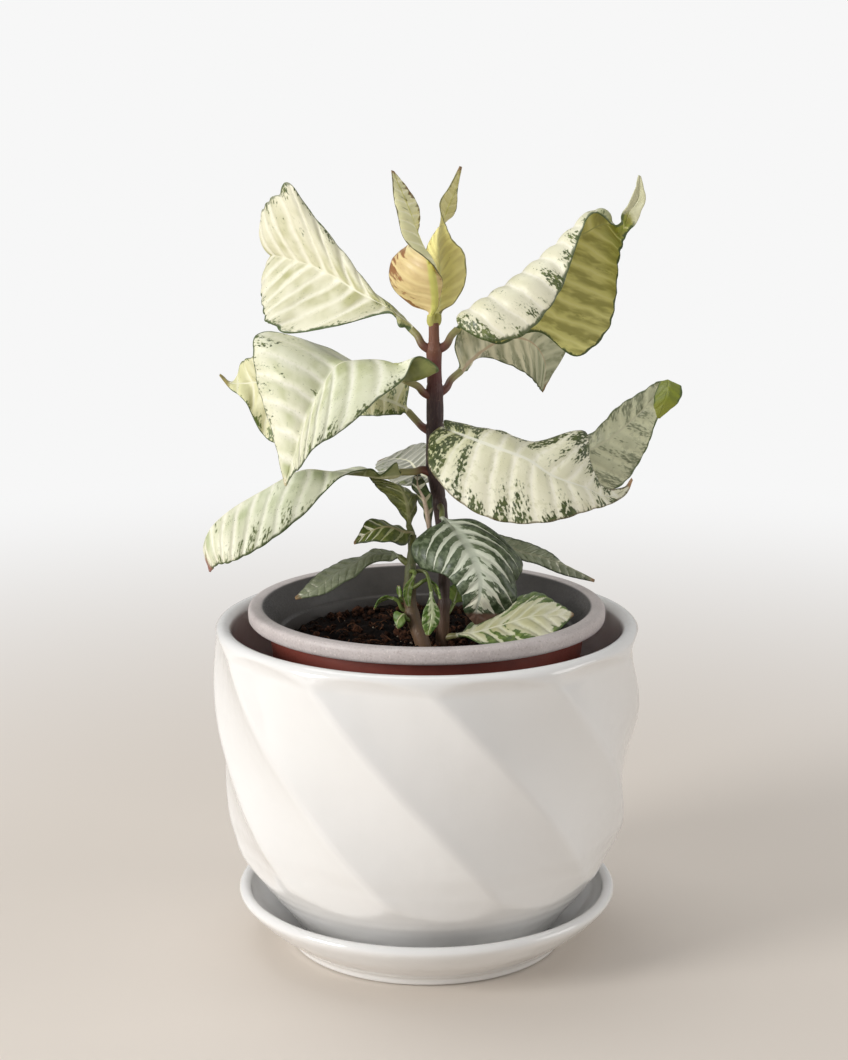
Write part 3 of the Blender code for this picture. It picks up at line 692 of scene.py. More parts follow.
def add_litter(name, parts, material, light, dark):
    """One piece from the points and faces of many small parts."""
    points, faces = [], []
    for part_points, part_faces in parts:
        shift = len(points)
        points += part_points
        faces += [tuple(k + shift for k in face) for face in part_faces]
    add_piece(name, points, faces, peat(material, light, dark), [])


def make_soil_litter():
    """Crumbs, bark chunks, fibres and pale grit that lie on the soil."""
    rng = random.Random(LITTER_SEED)
    reach = liner_radius(SOIL_LEVEL) - POT_WALL - LINER_STEP - LITTER_MARGIN
    crumbs = [lump(rng, scattered(rng, reach), rng.uniform(0.35, 1.3) ** 1.3, 0.2) for _ in range(CRUMBS)]
    chunks = [lump(rng, scattered(rng, reach), rng.uniform(0.9, 2.2), 0.15) for _ in range(CHUNKS)]
    fibres = [fibre(rng, reach - FIBRE_MARGIN) for _ in range(FIBRES)]
    grit = [lump(rng, scattered(rng, reach), rng.uniform(0.2, 0.55), 0.4) for _ in range(GRIT)]
    add_litter("soil_crumbs", crumbs, "peat_crumbs", (66, 42, 31), (12, 8, 6))
    add_litter("soil_chunks", chunks, "bark_chunks", (98, 64, 47), (26, 16, 12))
    add_litter("soil_fibres", fibres, "peat_fibres", (128, 90, 66), (58, 38, 30))
    add_litter("soil_grit", grit, "pale_grit", (196, 180, 160), (110, 90, 74))


# Stems

MAIN_STEM = (
    ((5, -3, 82), 2.2),
    ((5.2, -3, 105), 2.3),
    ((5.8, -3, 115), 1.9),
    ((5.8, -2, 123), 1.9),
    ((5.8, -1, 133), 2.0),
    ((5.1, 0, 145), 2.2),
    ((3.8, 1, 155), 2.4),
    ((2.4, 0, 165), 2.6),
    ((2.7, 0, 177), 2.8),
    ((2.7, 0, 187), 2.8),
    ((2.5, 0, 196), 2.4),
    ((2.4, 0, 203), 2.5),
    ((2.4, 0, 207), 1.8),
    ((2.3, 0, 212.5), 1.7),
)
SIDE_STEM = (
    ((1, -9, 88), 2.8),
    ((-0.9, -8, 104), 2.7),
    ((-3.9, -6, 112), 2.3),
    ((-5.6, -4, 119), 2.2),
    ((-5.6, -3, 128), 1.8),
    ((-4.9, -2, 135), 1.5),
    ((-4.9, -1, 141.5), 1.4),
)
MAIN_NODES = (118, 141, 151.5, 164, 177, 190, 204)
SIDE_NODES = (115, 124, 130, 134, 140)
STEM_SIDES = 28
STEM_STEPS = 14
SWELL = 0.10
SWELL_REACH = 1.6
SCAR = 0.07
SCAR_REACH = 0.35
SCAR_RISE = 2.2
WOBBLE = 0.03


def bark(name, bands):
    """Bark whose colour follows height. bands are (height, colour) from the bottom up."""
    surface = Surface(name, 0.5)
    place = surface.place()
    x, y, z = surface.parts(place)
    grain = surface.noise(place, 0.9, 3.0, 0.6)
    height = z + grain * 3.0
    colour = bands[0][1]
    for (low, _), (high, following) in zip(bands, bands[1:]):
        colour = surface.mix(surface.smooth(height, low, high), colour, following)
    streaks = surface.noise(surface.join(x * 2.2, y * 2.2, z * 0.3), 1.0, 3.0, 0.6)
    colour = surface.mix(surface.smooth(streaks, 0.45, 0.7, 0.0, 0.35), colour, (104, 78, 70))
    colour = surface.mix(surface.smooth(grain, 0.66, 0.74, 0.0, 0.6), colour, (150, 120, 100))
    surface.give(Base_Color=colour)
    surface.bump(streaks, 0.25)
    return surface.material


def hump(distance, reach):
    """A bell curve, 1 where distance is 0."""
    return math.exp(-((distance / reach) ** 2))


def make_stem(name, stem, joints, material, node):
    """A stem that swells a little at each of its joints, with a ring scar above each."""
    route = [point for point, _ in stem]
    radii = [(radius,) for _, radius in stem]
    steps = (len(route) - 1) * STEM_STEPS
    path = [spline(route, k / steps) for k in range(steps + 1)]
    side = np.array((1.0, 0.0, 0.0))
    points = []
    for k, centre in enumerate(path):
        size = spline(radii, k / steps)[0]
        tangent = unit(path[min(k + 1, steps)] - path[max(k - 1, 0)])
        side = unit(side - tangent * side.dot(tangent))
        upper = np.cross(side, tangent)
        swell = sum(SWELL * hump(centre[2] - joint, SWELL_REACH) for joint in joints)
        scar = sum(SCAR * hump(centre[2] - joint - SCAR_RISE, SCAR_REACH) for joint in joints)
        for x, y, _ in circle(1.0, 0, STEM_SIDES):
            wobble = WOBBLE * noise.noise(Vector((x * 2, y * 2, centre[2] * 0.2)))
            points.append(centre + size * (1 + swell - scar + wobble) * (x * side - y * upper))
    faces = ring_faces(steps + 1, STEM_SIDES, capped=True)
    return add_piece(name, points, faces, material, [node])


def make_stems():
    main = bark("main_bark", (
        (108, (112, 86, 66)),
        (124, (60, 40, 34)),
        (185, (50, 28, 31)),
        (200, (92, 42, 38)),
        (206, (120, 76, 56)),
    ))
    side = bark("side_bark", (
        (106, (124, 96, 72)),
        (122, (98, 80, 54)),
        (132, (96, 104, 62)),
    ))
    make_stem("main_stem_bark", MAIN_STEM, MAIN_NODES, main, "main_stem")
    make_stem("side_stem_bark", SIDE_STEM, SIDE_NODES, side, "side_stem")


# Leaves

BLADE = 0.5
MARGIN_SQUARENESS = 14
MARGIN_THIN = 0.16
KEEL = 0.7
KEEL_REACH = 0.25
TIP_HALF_WIDTH = 0.5
STALK_SWELL = 0.35
STALK_SWELL_REACH = 4.0
STALK_STATIONS = 14
STALK_EDGE = 10
STEM_SEARCH_STEPS = 200
STATIONS_PER_ROW = 12
WAVES = 4
TANGENT_STEP = 0.02
PLACE = "leaf_place"
SIDE = "leaf_side"
BAKE_MAP = "OFBake"
BAKE_MARGIN = 0.02


def large(stalk, base, tip, rows, stalk_radius=1.2, wave=0.4, points_per_half=20):
    """rows run from base to tip: left margin, rib, right margin, and any bow of the two halves."""
    return SimpleNamespace(
        stalk=stalk, base=base, tip=tip, rows=rows, stalk_radius=stalk_radius,
        wave=wave, points_per_half=points_per_half,
    )


def medium(stalk, base, tip, rows):
    return large(stalk, base, tip, rows, stalk_radius=0.9, points_per_half=14)


def sprout(stalk, route, half_width, side):
    """A young leaf along a route of rib points, as wide as its side direction says."""
    base, tip, inner = route[0], route[-1], route[1:-1]
    rows = []
    for k, rib in enumerate(inner):
        swell = half_width * math.sin(math.pi * (k + 1) / (len(inner) + 1)) ** 0.6
        left = tuple(rib[axis] - side[axis] * swell for axis in range(3))
        right = tuple(rib[axis] + side[axis] * swell for axis in range(3))
        rows.append((left, rib, right))
    return large(stalk, base, tip, rows, stalk_radius=0.6, wave=0.0, points_per_half=8)


LEAVES = {
    "leaf_crown_left": large(
        stalk=[(1.4, -0.6, 212.9)], base=(1.4, -1.2, 215), tip=(-11, -4, 262), stalk_radius=1.1,
        rows=[
            ((4, -2, 219), (3, -4, 220), (-5, 2, 218), 0, -1),
            ((5, -5, 227), (2, -8, 229), (-12, 3, 225), 0, -2),
            ((1, -12, 233), (1, -8, 234), (-11, 3, 233), 1, -2),
            ((-7, -12, 241), (-2, -7, 240), (-4, 2, 240), 1, -1),
            ((-10, -8, 250), (-6, -5, 250), (-2, -1, 248), 1, 0),
            ((-11, -5, 258), (-9, -4, 257), (-6, -2, 256)),
        ],
    ),
    "leaf_crown_right": large(
        stalk=[(3.4, 0.8, 212.9)], base=(3.6, 1.2, 215), tip=(11, 2, 263), stalk_radius=1.1,
        rows=[
            ((9, 0, 219), (5, 4, 219), (2, 9, 219), -1, 0),
            ((13, 0, 227), (5, 6, 226), (1, 13, 227), -2, 0),
            ((12, -1, 235), (5, 7, 232), (0, 14, 234), -2, 0),
            ((8, -3, 241), (4, 6, 240), (3, 12, 242), -1, 0),
            ((4, 0, 250), (6, 4, 248), (9, 7, 247)),
            ((7, 1, 256), (9, 3, 255), (10, 4, 255)),
        ],
    ),
    "leaf_upper_left": large(
        stalk=[(-1.2, 0, 205), (-3, 1, 208)], base=(-5, 2, 210), tip=(-51, 60, 226),
        rows=[
            ((-9, 2, 211), (-9, 5, 214), (-9, 9, 215), 1, 0),
            ((-13, 5, 215), (-14, 9, 217), (-18, 13, 222), 0, 1),
            ((-29, 5, 211), (-23, 15, 221), (-29, 22, 235), -1, 1),
            ((-42, 15, 207), (-30, 21, 225), (-41, 26, 249), -1, 1),
            ((-48, 18, 207), (-33, 24, 226), (-46, 27, 256.5), -1, 1),
            ((-52, 22, 209), (-38, 28, 228), (-50, 31, 252), -1, 1),
            ((-55, 28, 210), (-43, 33, 229), (-54, 40, 249), 0, 2),
            ((-57, 46, 219), (-53, 46, 230), (-57, 50, 241), 1, 2),
        ],
    ),
    "leaf_upper_right": large(
        stalk=[(6.2, 0, 205), (8, 1, 208)], base=(10, 2, 210), tip=(69, 2, 260),
        rows=[
            ((15, 8, 208), (14, 5, 214), (11, -4, 211), 0, 3),
            ((24, 10, 204), (21, 7, 219), (20, -9, 208), 1, 7),
            ((37, 12, 208), (31, 10, 227), (32, -10, 210), 1, 8),
            ((50, 10, 200), (42, 12, 235), (42, -8, 222), 1, 7),
            ((61, 8, 211), (52, 12, 241), (48, -5, 237), 1, 5),
            ((63, 6, 232), (59, 10, 244), (54, 0, 248), 1, 3),
            ((65, 6, 240), (63, 7, 241), (62, 4, 244)),
            ((68, 5, 244), (66, 5, 248), (64, 4, 248)),
            ((71, 3, 252), (69, 4, 253), (67, 3, 254)),
        ],
    ),
    "leaf_mid_left_front": large(
        stalk=[(-0.9, -1.5, 189.5), (-3, -3, 192)], base=(-7, -4, 194), tip=(-45, -34, 165),
        rows=[
            ((4, -9, 198), (-8, -5, 196), (-9, 2, 196), -4, 0),
            ((-3, -12, 203), (-11, -3, 199), (-12, 8, 196), -2, 0),
            ((-8, -16, 196), (-15, 0, 200), (-15, 16, 194), 1, 0),
            ((-16, -22, 190), (-22, 0, 200), (-21, 24, 194), 2, 0),
            ((-27, -29, 182), (-29, -4, 199), (-35, 18, 202), 2, 0),
            ((-35, -32, 177), (-34, -12, 193), (-55, 4, 209), 1, 2),
            ((-40, -34, 171), (-39, -21, 183), (-56, -4, 196), 1, 2),
            ((-42, -34, 169), (-42, -27, 174), (-50, -17, 179), 0, 1),
        ],
    ),
    "leaf_mid_left_back": large(
        stalk=[(-1.1, 1, 177.5), (-3, 3, 179)], base=(-6, 5, 182), tip=(-73, 54, 187),
        rows=[
            ((-9, 5, 181), (-10, 9, 184), (-6, 15, 190)),
            ((-15, 9, 180), (-16, 15, 185), (-11, 25, 194)),
            ((-25, 17, 178), (-30, 26, 186), (-32, 36, 195), 0, 1),
            ((-42, 28, 168), (-46, 36, 185), (-50, 44, 198), -1, 1),
            ((-55, 36, 167), (-58, 43, 186), (-62, 48, 194), -1, 1),
            ((-63, 42, 179), (-64, 47, 185), (-65, 50, 192)),
            ((-69, 48, 183), (-69, 49, 185), (-68, 51, 185)),
        ],
    ),
    "leaf_right_back_upper": large(
        stalk=[(6.3, 1.4, 190.5), (8, 4, 193)], base=(11, 8, 195), tip=(41, 49, 182),
        rows=[
            ((14, 12, 195), (14, 11, 198), (9, 9, 204)),
            ((17, 20, 198), (20, 18, 202), (14, 14, 211), 0, -1),
            ((26, 30, 195), (28, 27, 204), (25, 24, 216), 0, -1),
            ((35, 41, 189), (36, 37, 201), (37, 36, 213), 0, -1),
            ((39, 46, 184), (41, 45, 193), (50, 47, 202)),
        ],
    ),
    "leaf_mid_right_front": large(
        stalk=[(3.4, -4.2, 176.4)], base=(5, -6.5, 178), tip=(67, -14, 163),
        rows=[
            ((6, -5, 181), (8, -10, 178), (1, -12, 177), 1, 1),
            ((15, -6, 179), (14, -16, 177), (1, -21, 168), 1, 1),
            ((24, -8, 178), (22, -22, 175), (11, -29, 158), 2, 1),
            ((35, -13, 175), (32, -26, 172), (24, -33, 153), 1, 1),
            ((51, -12, 179), (40, -28, 167), (39, -34, 153), 2, 1),
            ((53, -17, 169), (50, -27, 163), (52, -30, 156), 1, 1),
            ((57, -21, 162), (58, -23, 159), (60, -24, 157)),
            ((64, -17, 161), (64, -17, 160), (65, -18, 159)),
        ],
    ),
    "leaf_mid_right_back": large(
        stalk=[(5.6, 1.4, 166), (11, 6, 164)], base=(17, 9, 162), tip=(79, 22, 177),
        rows=[
            ((28, 18, 166), (30, 14, 161), (35, 12, 154)),
            ((40, 24, 169), (44, 20, 162), (51, 16, 151)),
            ((56, 30, 170), (59, 25, 167), (66, 19, 154)),
            ((66, 34, 179), (70, 31, 174), (75, 25, 165)),
            ((77, 39, 185), (79, 36, 182), (80, 31, 176)),
            ((80, 34, 187.5), (83, 34, 188), (87, 32, 186.5)),
            ((77.5, 26, 182), (82, 26, 184), (86.5, 26, 182.5)),
        ],
    ),
    "leaf_low_left": large(
        stalk=[(-1.3, -0.4, 163.5), (-4, -1, 163)], base=(-9, -2, 163), tip=(-71, -18, 133),
        rows=[
            ((-10, -5, 167), (-11, -3, 162), (-13, 3, 162)),
            ((-15, -6, 163), (-15, -4, 162), (-17, 4, 162)),
            ((-19, -10, 166), (-21, -5, 163), (-23, 6, 163)),
            ((-29, -16, 163), (-31, -7, 164), (-34, 8, 161)),
            ((-40, -22, 153), (-41, -10, 165), (-44, 8, 158), 2, 0),
            ((-53, -25, 143), (-53, -12, 159), (-57, 7, 152), 2, 0),
            ((-63, -25, 138), (-65, -14, 152), (-68, 3, 145), 2, 0),
            ((-68, -21, 136), (-72, -16, 144), (-74, -6, 139), 1, 0),
        ],
    ),
    "leaf_low_back": large(
        stalk=[(2.6, 3.9, 160)], base=(2, 6, 159), tip=(-17, 54, 156),
        rows=[
            ((-2, 12, 156), (1, 13, 158), (5, 14, 161)),
            ((-11, 24, 154), (-3, 25, 158), (4, 26, 165)),
            ((-16, 37, 155), (-6, 37, 159), (3, 39, 165)),
            ((-18, 46, 155), (-11, 47, 158), (-4, 48, 163)),
        ],
    ),
    "side_leaf_up_left": medium(
        stalk=[(-5.1, -0.8, 142.2)], base=(-6, 0, 144.5), tip=(-19, 1, 161),
        rows=[
            ((-9, -1, 149), (-6, -2, 149), (-4, 1, 148)),
            ((-13, 0, 154), (-7, -3, 154), (-3, 2, 153)),
            ((-17, 0, 158), (-10, -3, 159), (-6, 3, 156)),
        ],
    ),
    "side_leaf_by_stem": medium(
        stalk=[(2.7, -2.6, 141)], base=(1, -8, 145), tip=(-3, 2, 162),
        rows=[
            ((-1, -7, 150), (0, -9, 150), (2, -8, 150)),
            ((-3, -6, 155), (-1, -8, 155), (2, -7, 155)),
            ((-5, -3, 159), (-3, -5, 159), (0, -4, 159)),
        ],
    ),
    "side_leaf_left": medium(
        stalk=[(-4.6, -3.7, 140)], base=(-4.8, -5, 142.5), tip=(-24, -11, 141),
        rows=[
            ((-7, -10, 140), (-8, -7, 144), (-8, -2, 144)),
            ((-13, -14, 142), (-13, -9, 146), (-13, -3, 146)),
            ((-19, -14, 142), (-18, -11, 145), (-19, -6, 148)),
        ],
    ),
    "side_leaf_low_left": medium(
        stalk=[(-7.8, -1.7, 133)], base=(-9, -1, 134), tip=(-44, -3, 120),
        rows=[
            ((-12, 0, 132), (-12, 2, 134), (-12, 4, 135)),
            ((-17, 0, 132), (-18, 2, 134), (-18, 5, 135)),
            ((-22, -2, 129), (-24, 2, 131), (-24, 6, 132)),
            ((-27, -4, 126), (-30, 1, 128), (-31, 6, 130)),
            ((-35, -5, 122), (-37, -2, 123), (-38, 2, 126)),
        ],
    ),
    "side_leaf_front": medium(
        stalk=[(4.5, -2.15, 151.5), (5, -5, 151)], base=(5, -9, 149), tip=(16, -29, 118),
        rows=[
            ((16, -12, 149), (9, -15, 147), (0, -13, 146), 1, 1),
            ((26, -17, 143), (12, -21, 144), (-5, -16, 141), 2, 2),
            ((31, -21, 136), (15, -27, 140), (-2, -21, 135), 3, 3),
            ((29, -25, 131), (17, -30, 134), (6, -28, 134), 2, 1),
            ((29, -27, 126), (17, -31, 128), (11, -31, 128), 1, 0),
            ((25, -28, 122), (16, -30, 123), (12, -31, 123)),
        ],
    ),
    "side_leaf_right": medium(
        stalk=[(7.6, 1.2, 140.6)], base=(13, 7, 140), tip=(58, 22, 120),
        rows=[
            ((23, 12, 139), (21, 10, 138), (22, 9, 135)),
            ((32, 15, 136), (30, 13, 133), (32, 12, 130)),
            ((41, 18, 132), (39, 16, 130), (39, 15, 127)),
            ((48, 20, 126), (48, 19, 126), (47, 18, 123)),
        ],
    ),
    "side_leaf_in_pot": medium(
        stalk=[(7.8, -4.5, 107.3)], base=(10, -6, 108), tip=(49, -9, 116),
        rows=[
            ((15, -2, 111), (17, -9, 110), (18, -14, 107.5)),
            ((28, 6, 116), (27, -9, 113), (26, -18, 108)),
            ((36, 14, 118), (36, -7, 115), (35, -21, 110)),
            ((44, 4, 117), (43, -7, 115), (42, -18, 112)),
        ],
    ),
    "sprout_hanging": sprout(
        [(-2.6, -4.6, 130), (0, -7, 129.5)],
        [(1.5, -8, 124), (1.6, -10, 117.5), (1.2, -11, 113.5), (0.3, -12, 109.5)], 3.0, (-1, 0, 0),
    ),
    "sprout_strap": sprout(
        [(-3.4, -5.4, 125), (-1, -6.5, 127)],
        [(0.5, -6, 127.5), (2.6, -6.5, 125.5), (3.6, -7, 123.5), (4.6, -8, 121)], 1.3, (-0.6, 0.7, -0.4),
    ),
    "sprout_curled": sprout(
        [(-5, -5.2, 130), (-4, -7.5, 130.2)],
        [(-4.2, -9, 129.5), (-5.6, -10, 127), (-6.4, -10.5, 123.5), (-6.0, -10.5, 119)],
        1.9, (-0.8, -0.6, 0),
    ),
    "sprout_round": sprout(
        [(-6.4, -7.6, 114), (-7.2, -8, 115)],
        [(-7.6, -8.5, 116), (-8.6, -9, 115.5), (-9.6, -9.3, 114), (-9.9, -9.6, 111.6)],
        2.8, (0.6, -0.4, -0.6),
    ),
    "sprout_far": sprout(
        [(-8.2, -5, 117), (-9.4, -5, 119.5)],
        [(-11, -5, 120.6), (-13.4, -5, 120.9), (-16, -5, 119.5), (-17.6, -5, 116.8)], 1.5, (0, -0.7, 0.7),
    ),
    "sprout_upright": sprout(
        [(-8, -3.2, 119.5), (-8.6, -3, 120)],
        [(-8.8, -3, 120.8), (-9, -3, 121.8), (-9.2, -3, 123), (-9.4, -3, 124.5)], 1.0, (1, -0.3, 0),
    ),
    "sprout_behind": sprout(
        [(7.5, -1, 115), (8.3, 0.2, 116)],
        [(9, 1.2, 117), (9.8, 2, 119), (10.4, 2.6, 121.5), (11, 3, 124)], 3.2, (1, -0.2, -0.3),
    ),
}


# Leaf looks
#
# near and far are tones by the stalk and towards the tip, mixed in at near_end and far_start.
# mark is the dark green that is left between the veins. left, right, middle and near_marks say how
# much of each part it covers, inner how far from the rib it starts, guard how well it keeps off the
# veins and patchy how much it clusters. edge is the line along the margin, and under the underside.
# Side veins stand spacing mm apart, lean towards the tip by slope and curve towards it by bend.

CREAM = (236, 233, 210)
OLIVE_TINT = (184, 183, 136)
WHITE_VEIN = (244, 241, 226)
DARK_GREEN = (70, 82, 44)

PLAIN = dict(
    base=CREAM, near=CREAM, near_end=0.001, far=CREAM, far_start=0.6, tint=OLIVE_TINT, tint_amount=0.6,
    mottle=0.2, vein=WHITE_VEIN, vein_amount=0.45, vein_width=0.13, taper=0.05, rib=(234, 232, 206),
    rib_width=0.8, mark=DARK_GREEN, mark_light=(116, 126, 72), left=0.0, right=0.0, middle=0.0,
    inner=0.45, near_marks=0.0, guard=0.8, patchy=2.0, fullest=0.95, grain=1.4, soft=0.03, halo=0.3,
    haze=0.0, specks=0.5, edge=(76, 92, 48), edge_left=0.0, edge_right=0.0, edge_width=0.45,
    tip=(150, 120, 84), tip_start=0.97, stalk=(150, 146, 98), stalk_foot=(104, 62, 52),
    under=(198, 200, 164), under_far=(198, 200, 164), under_vein=(220, 220, 186),
    under_dark=(150, 156, 108), under_band=0.6, under_marks=0.35, under_rib=(206, 204, 160),
    spacing=6.2, slope_left=0.2, slope_right=0.2, bend=0.003, relief=0.5, scallop=0.35, gloss=0.42,
)
GREEN = dict(
    base=(208, 214, 194), tint=(176, 186, 160), tint_amount=0.4, vein=(226, 230, 214), vein_amount=0.4,
    vein_width=0.1, taper=0.12, rib=(206, 210, 188), rib_width=0.9, mark=(40, 56, 32),
    mark_light=(84, 106, 56), middle=1.9, guard=2.1, patchy=0.9, fullest=2.0, halo=0.0, specks=0.0,
    edge=(40, 56, 30), edge_left=0.8, edge_right=0.8, stalk=(116, 122, 72), stalk_foot=(104, 92, 60),
    under=(122, 134, 88), under_far=(122, 134, 88), under_vein=(160, 168, 128),
    under_dark=(84, 98, 58), under_marks=0.5, under_rib=(160, 166, 124), spacing=4.2, slope_left=0.75,
    slope_right=0.75, relief=0.3, scallop=0.15,
)
SHOOT = dict(
    base=(146, 168, 82), far=(138, 162, 78), tint=(106, 136, 56), vein=(190, 202, 140),
    vein_amount=0.15, rib=(206, 214, 168), rib_width=0.35, mark=(74, 104, 40),
    mark_light=(104, 134, 54), left=0.8, right=0.8, middle=0.2, inner=0.3, patchy=1.0, specks=0.0,
    edge=(60, 92, 36), edge_left=0.4, edge_right=0.4, stalk=(112, 130, 62), stalk_foot=(98, 102, 60),
    under=(126, 150, 74), under_far=(126, 150, 74), under_vein=(160, 178, 108),
    under_dark=(84, 114, 46), spacing=3.4, slope_left=0.6, slope_right=0.6, relief=0.1, scallop=0.0,
)
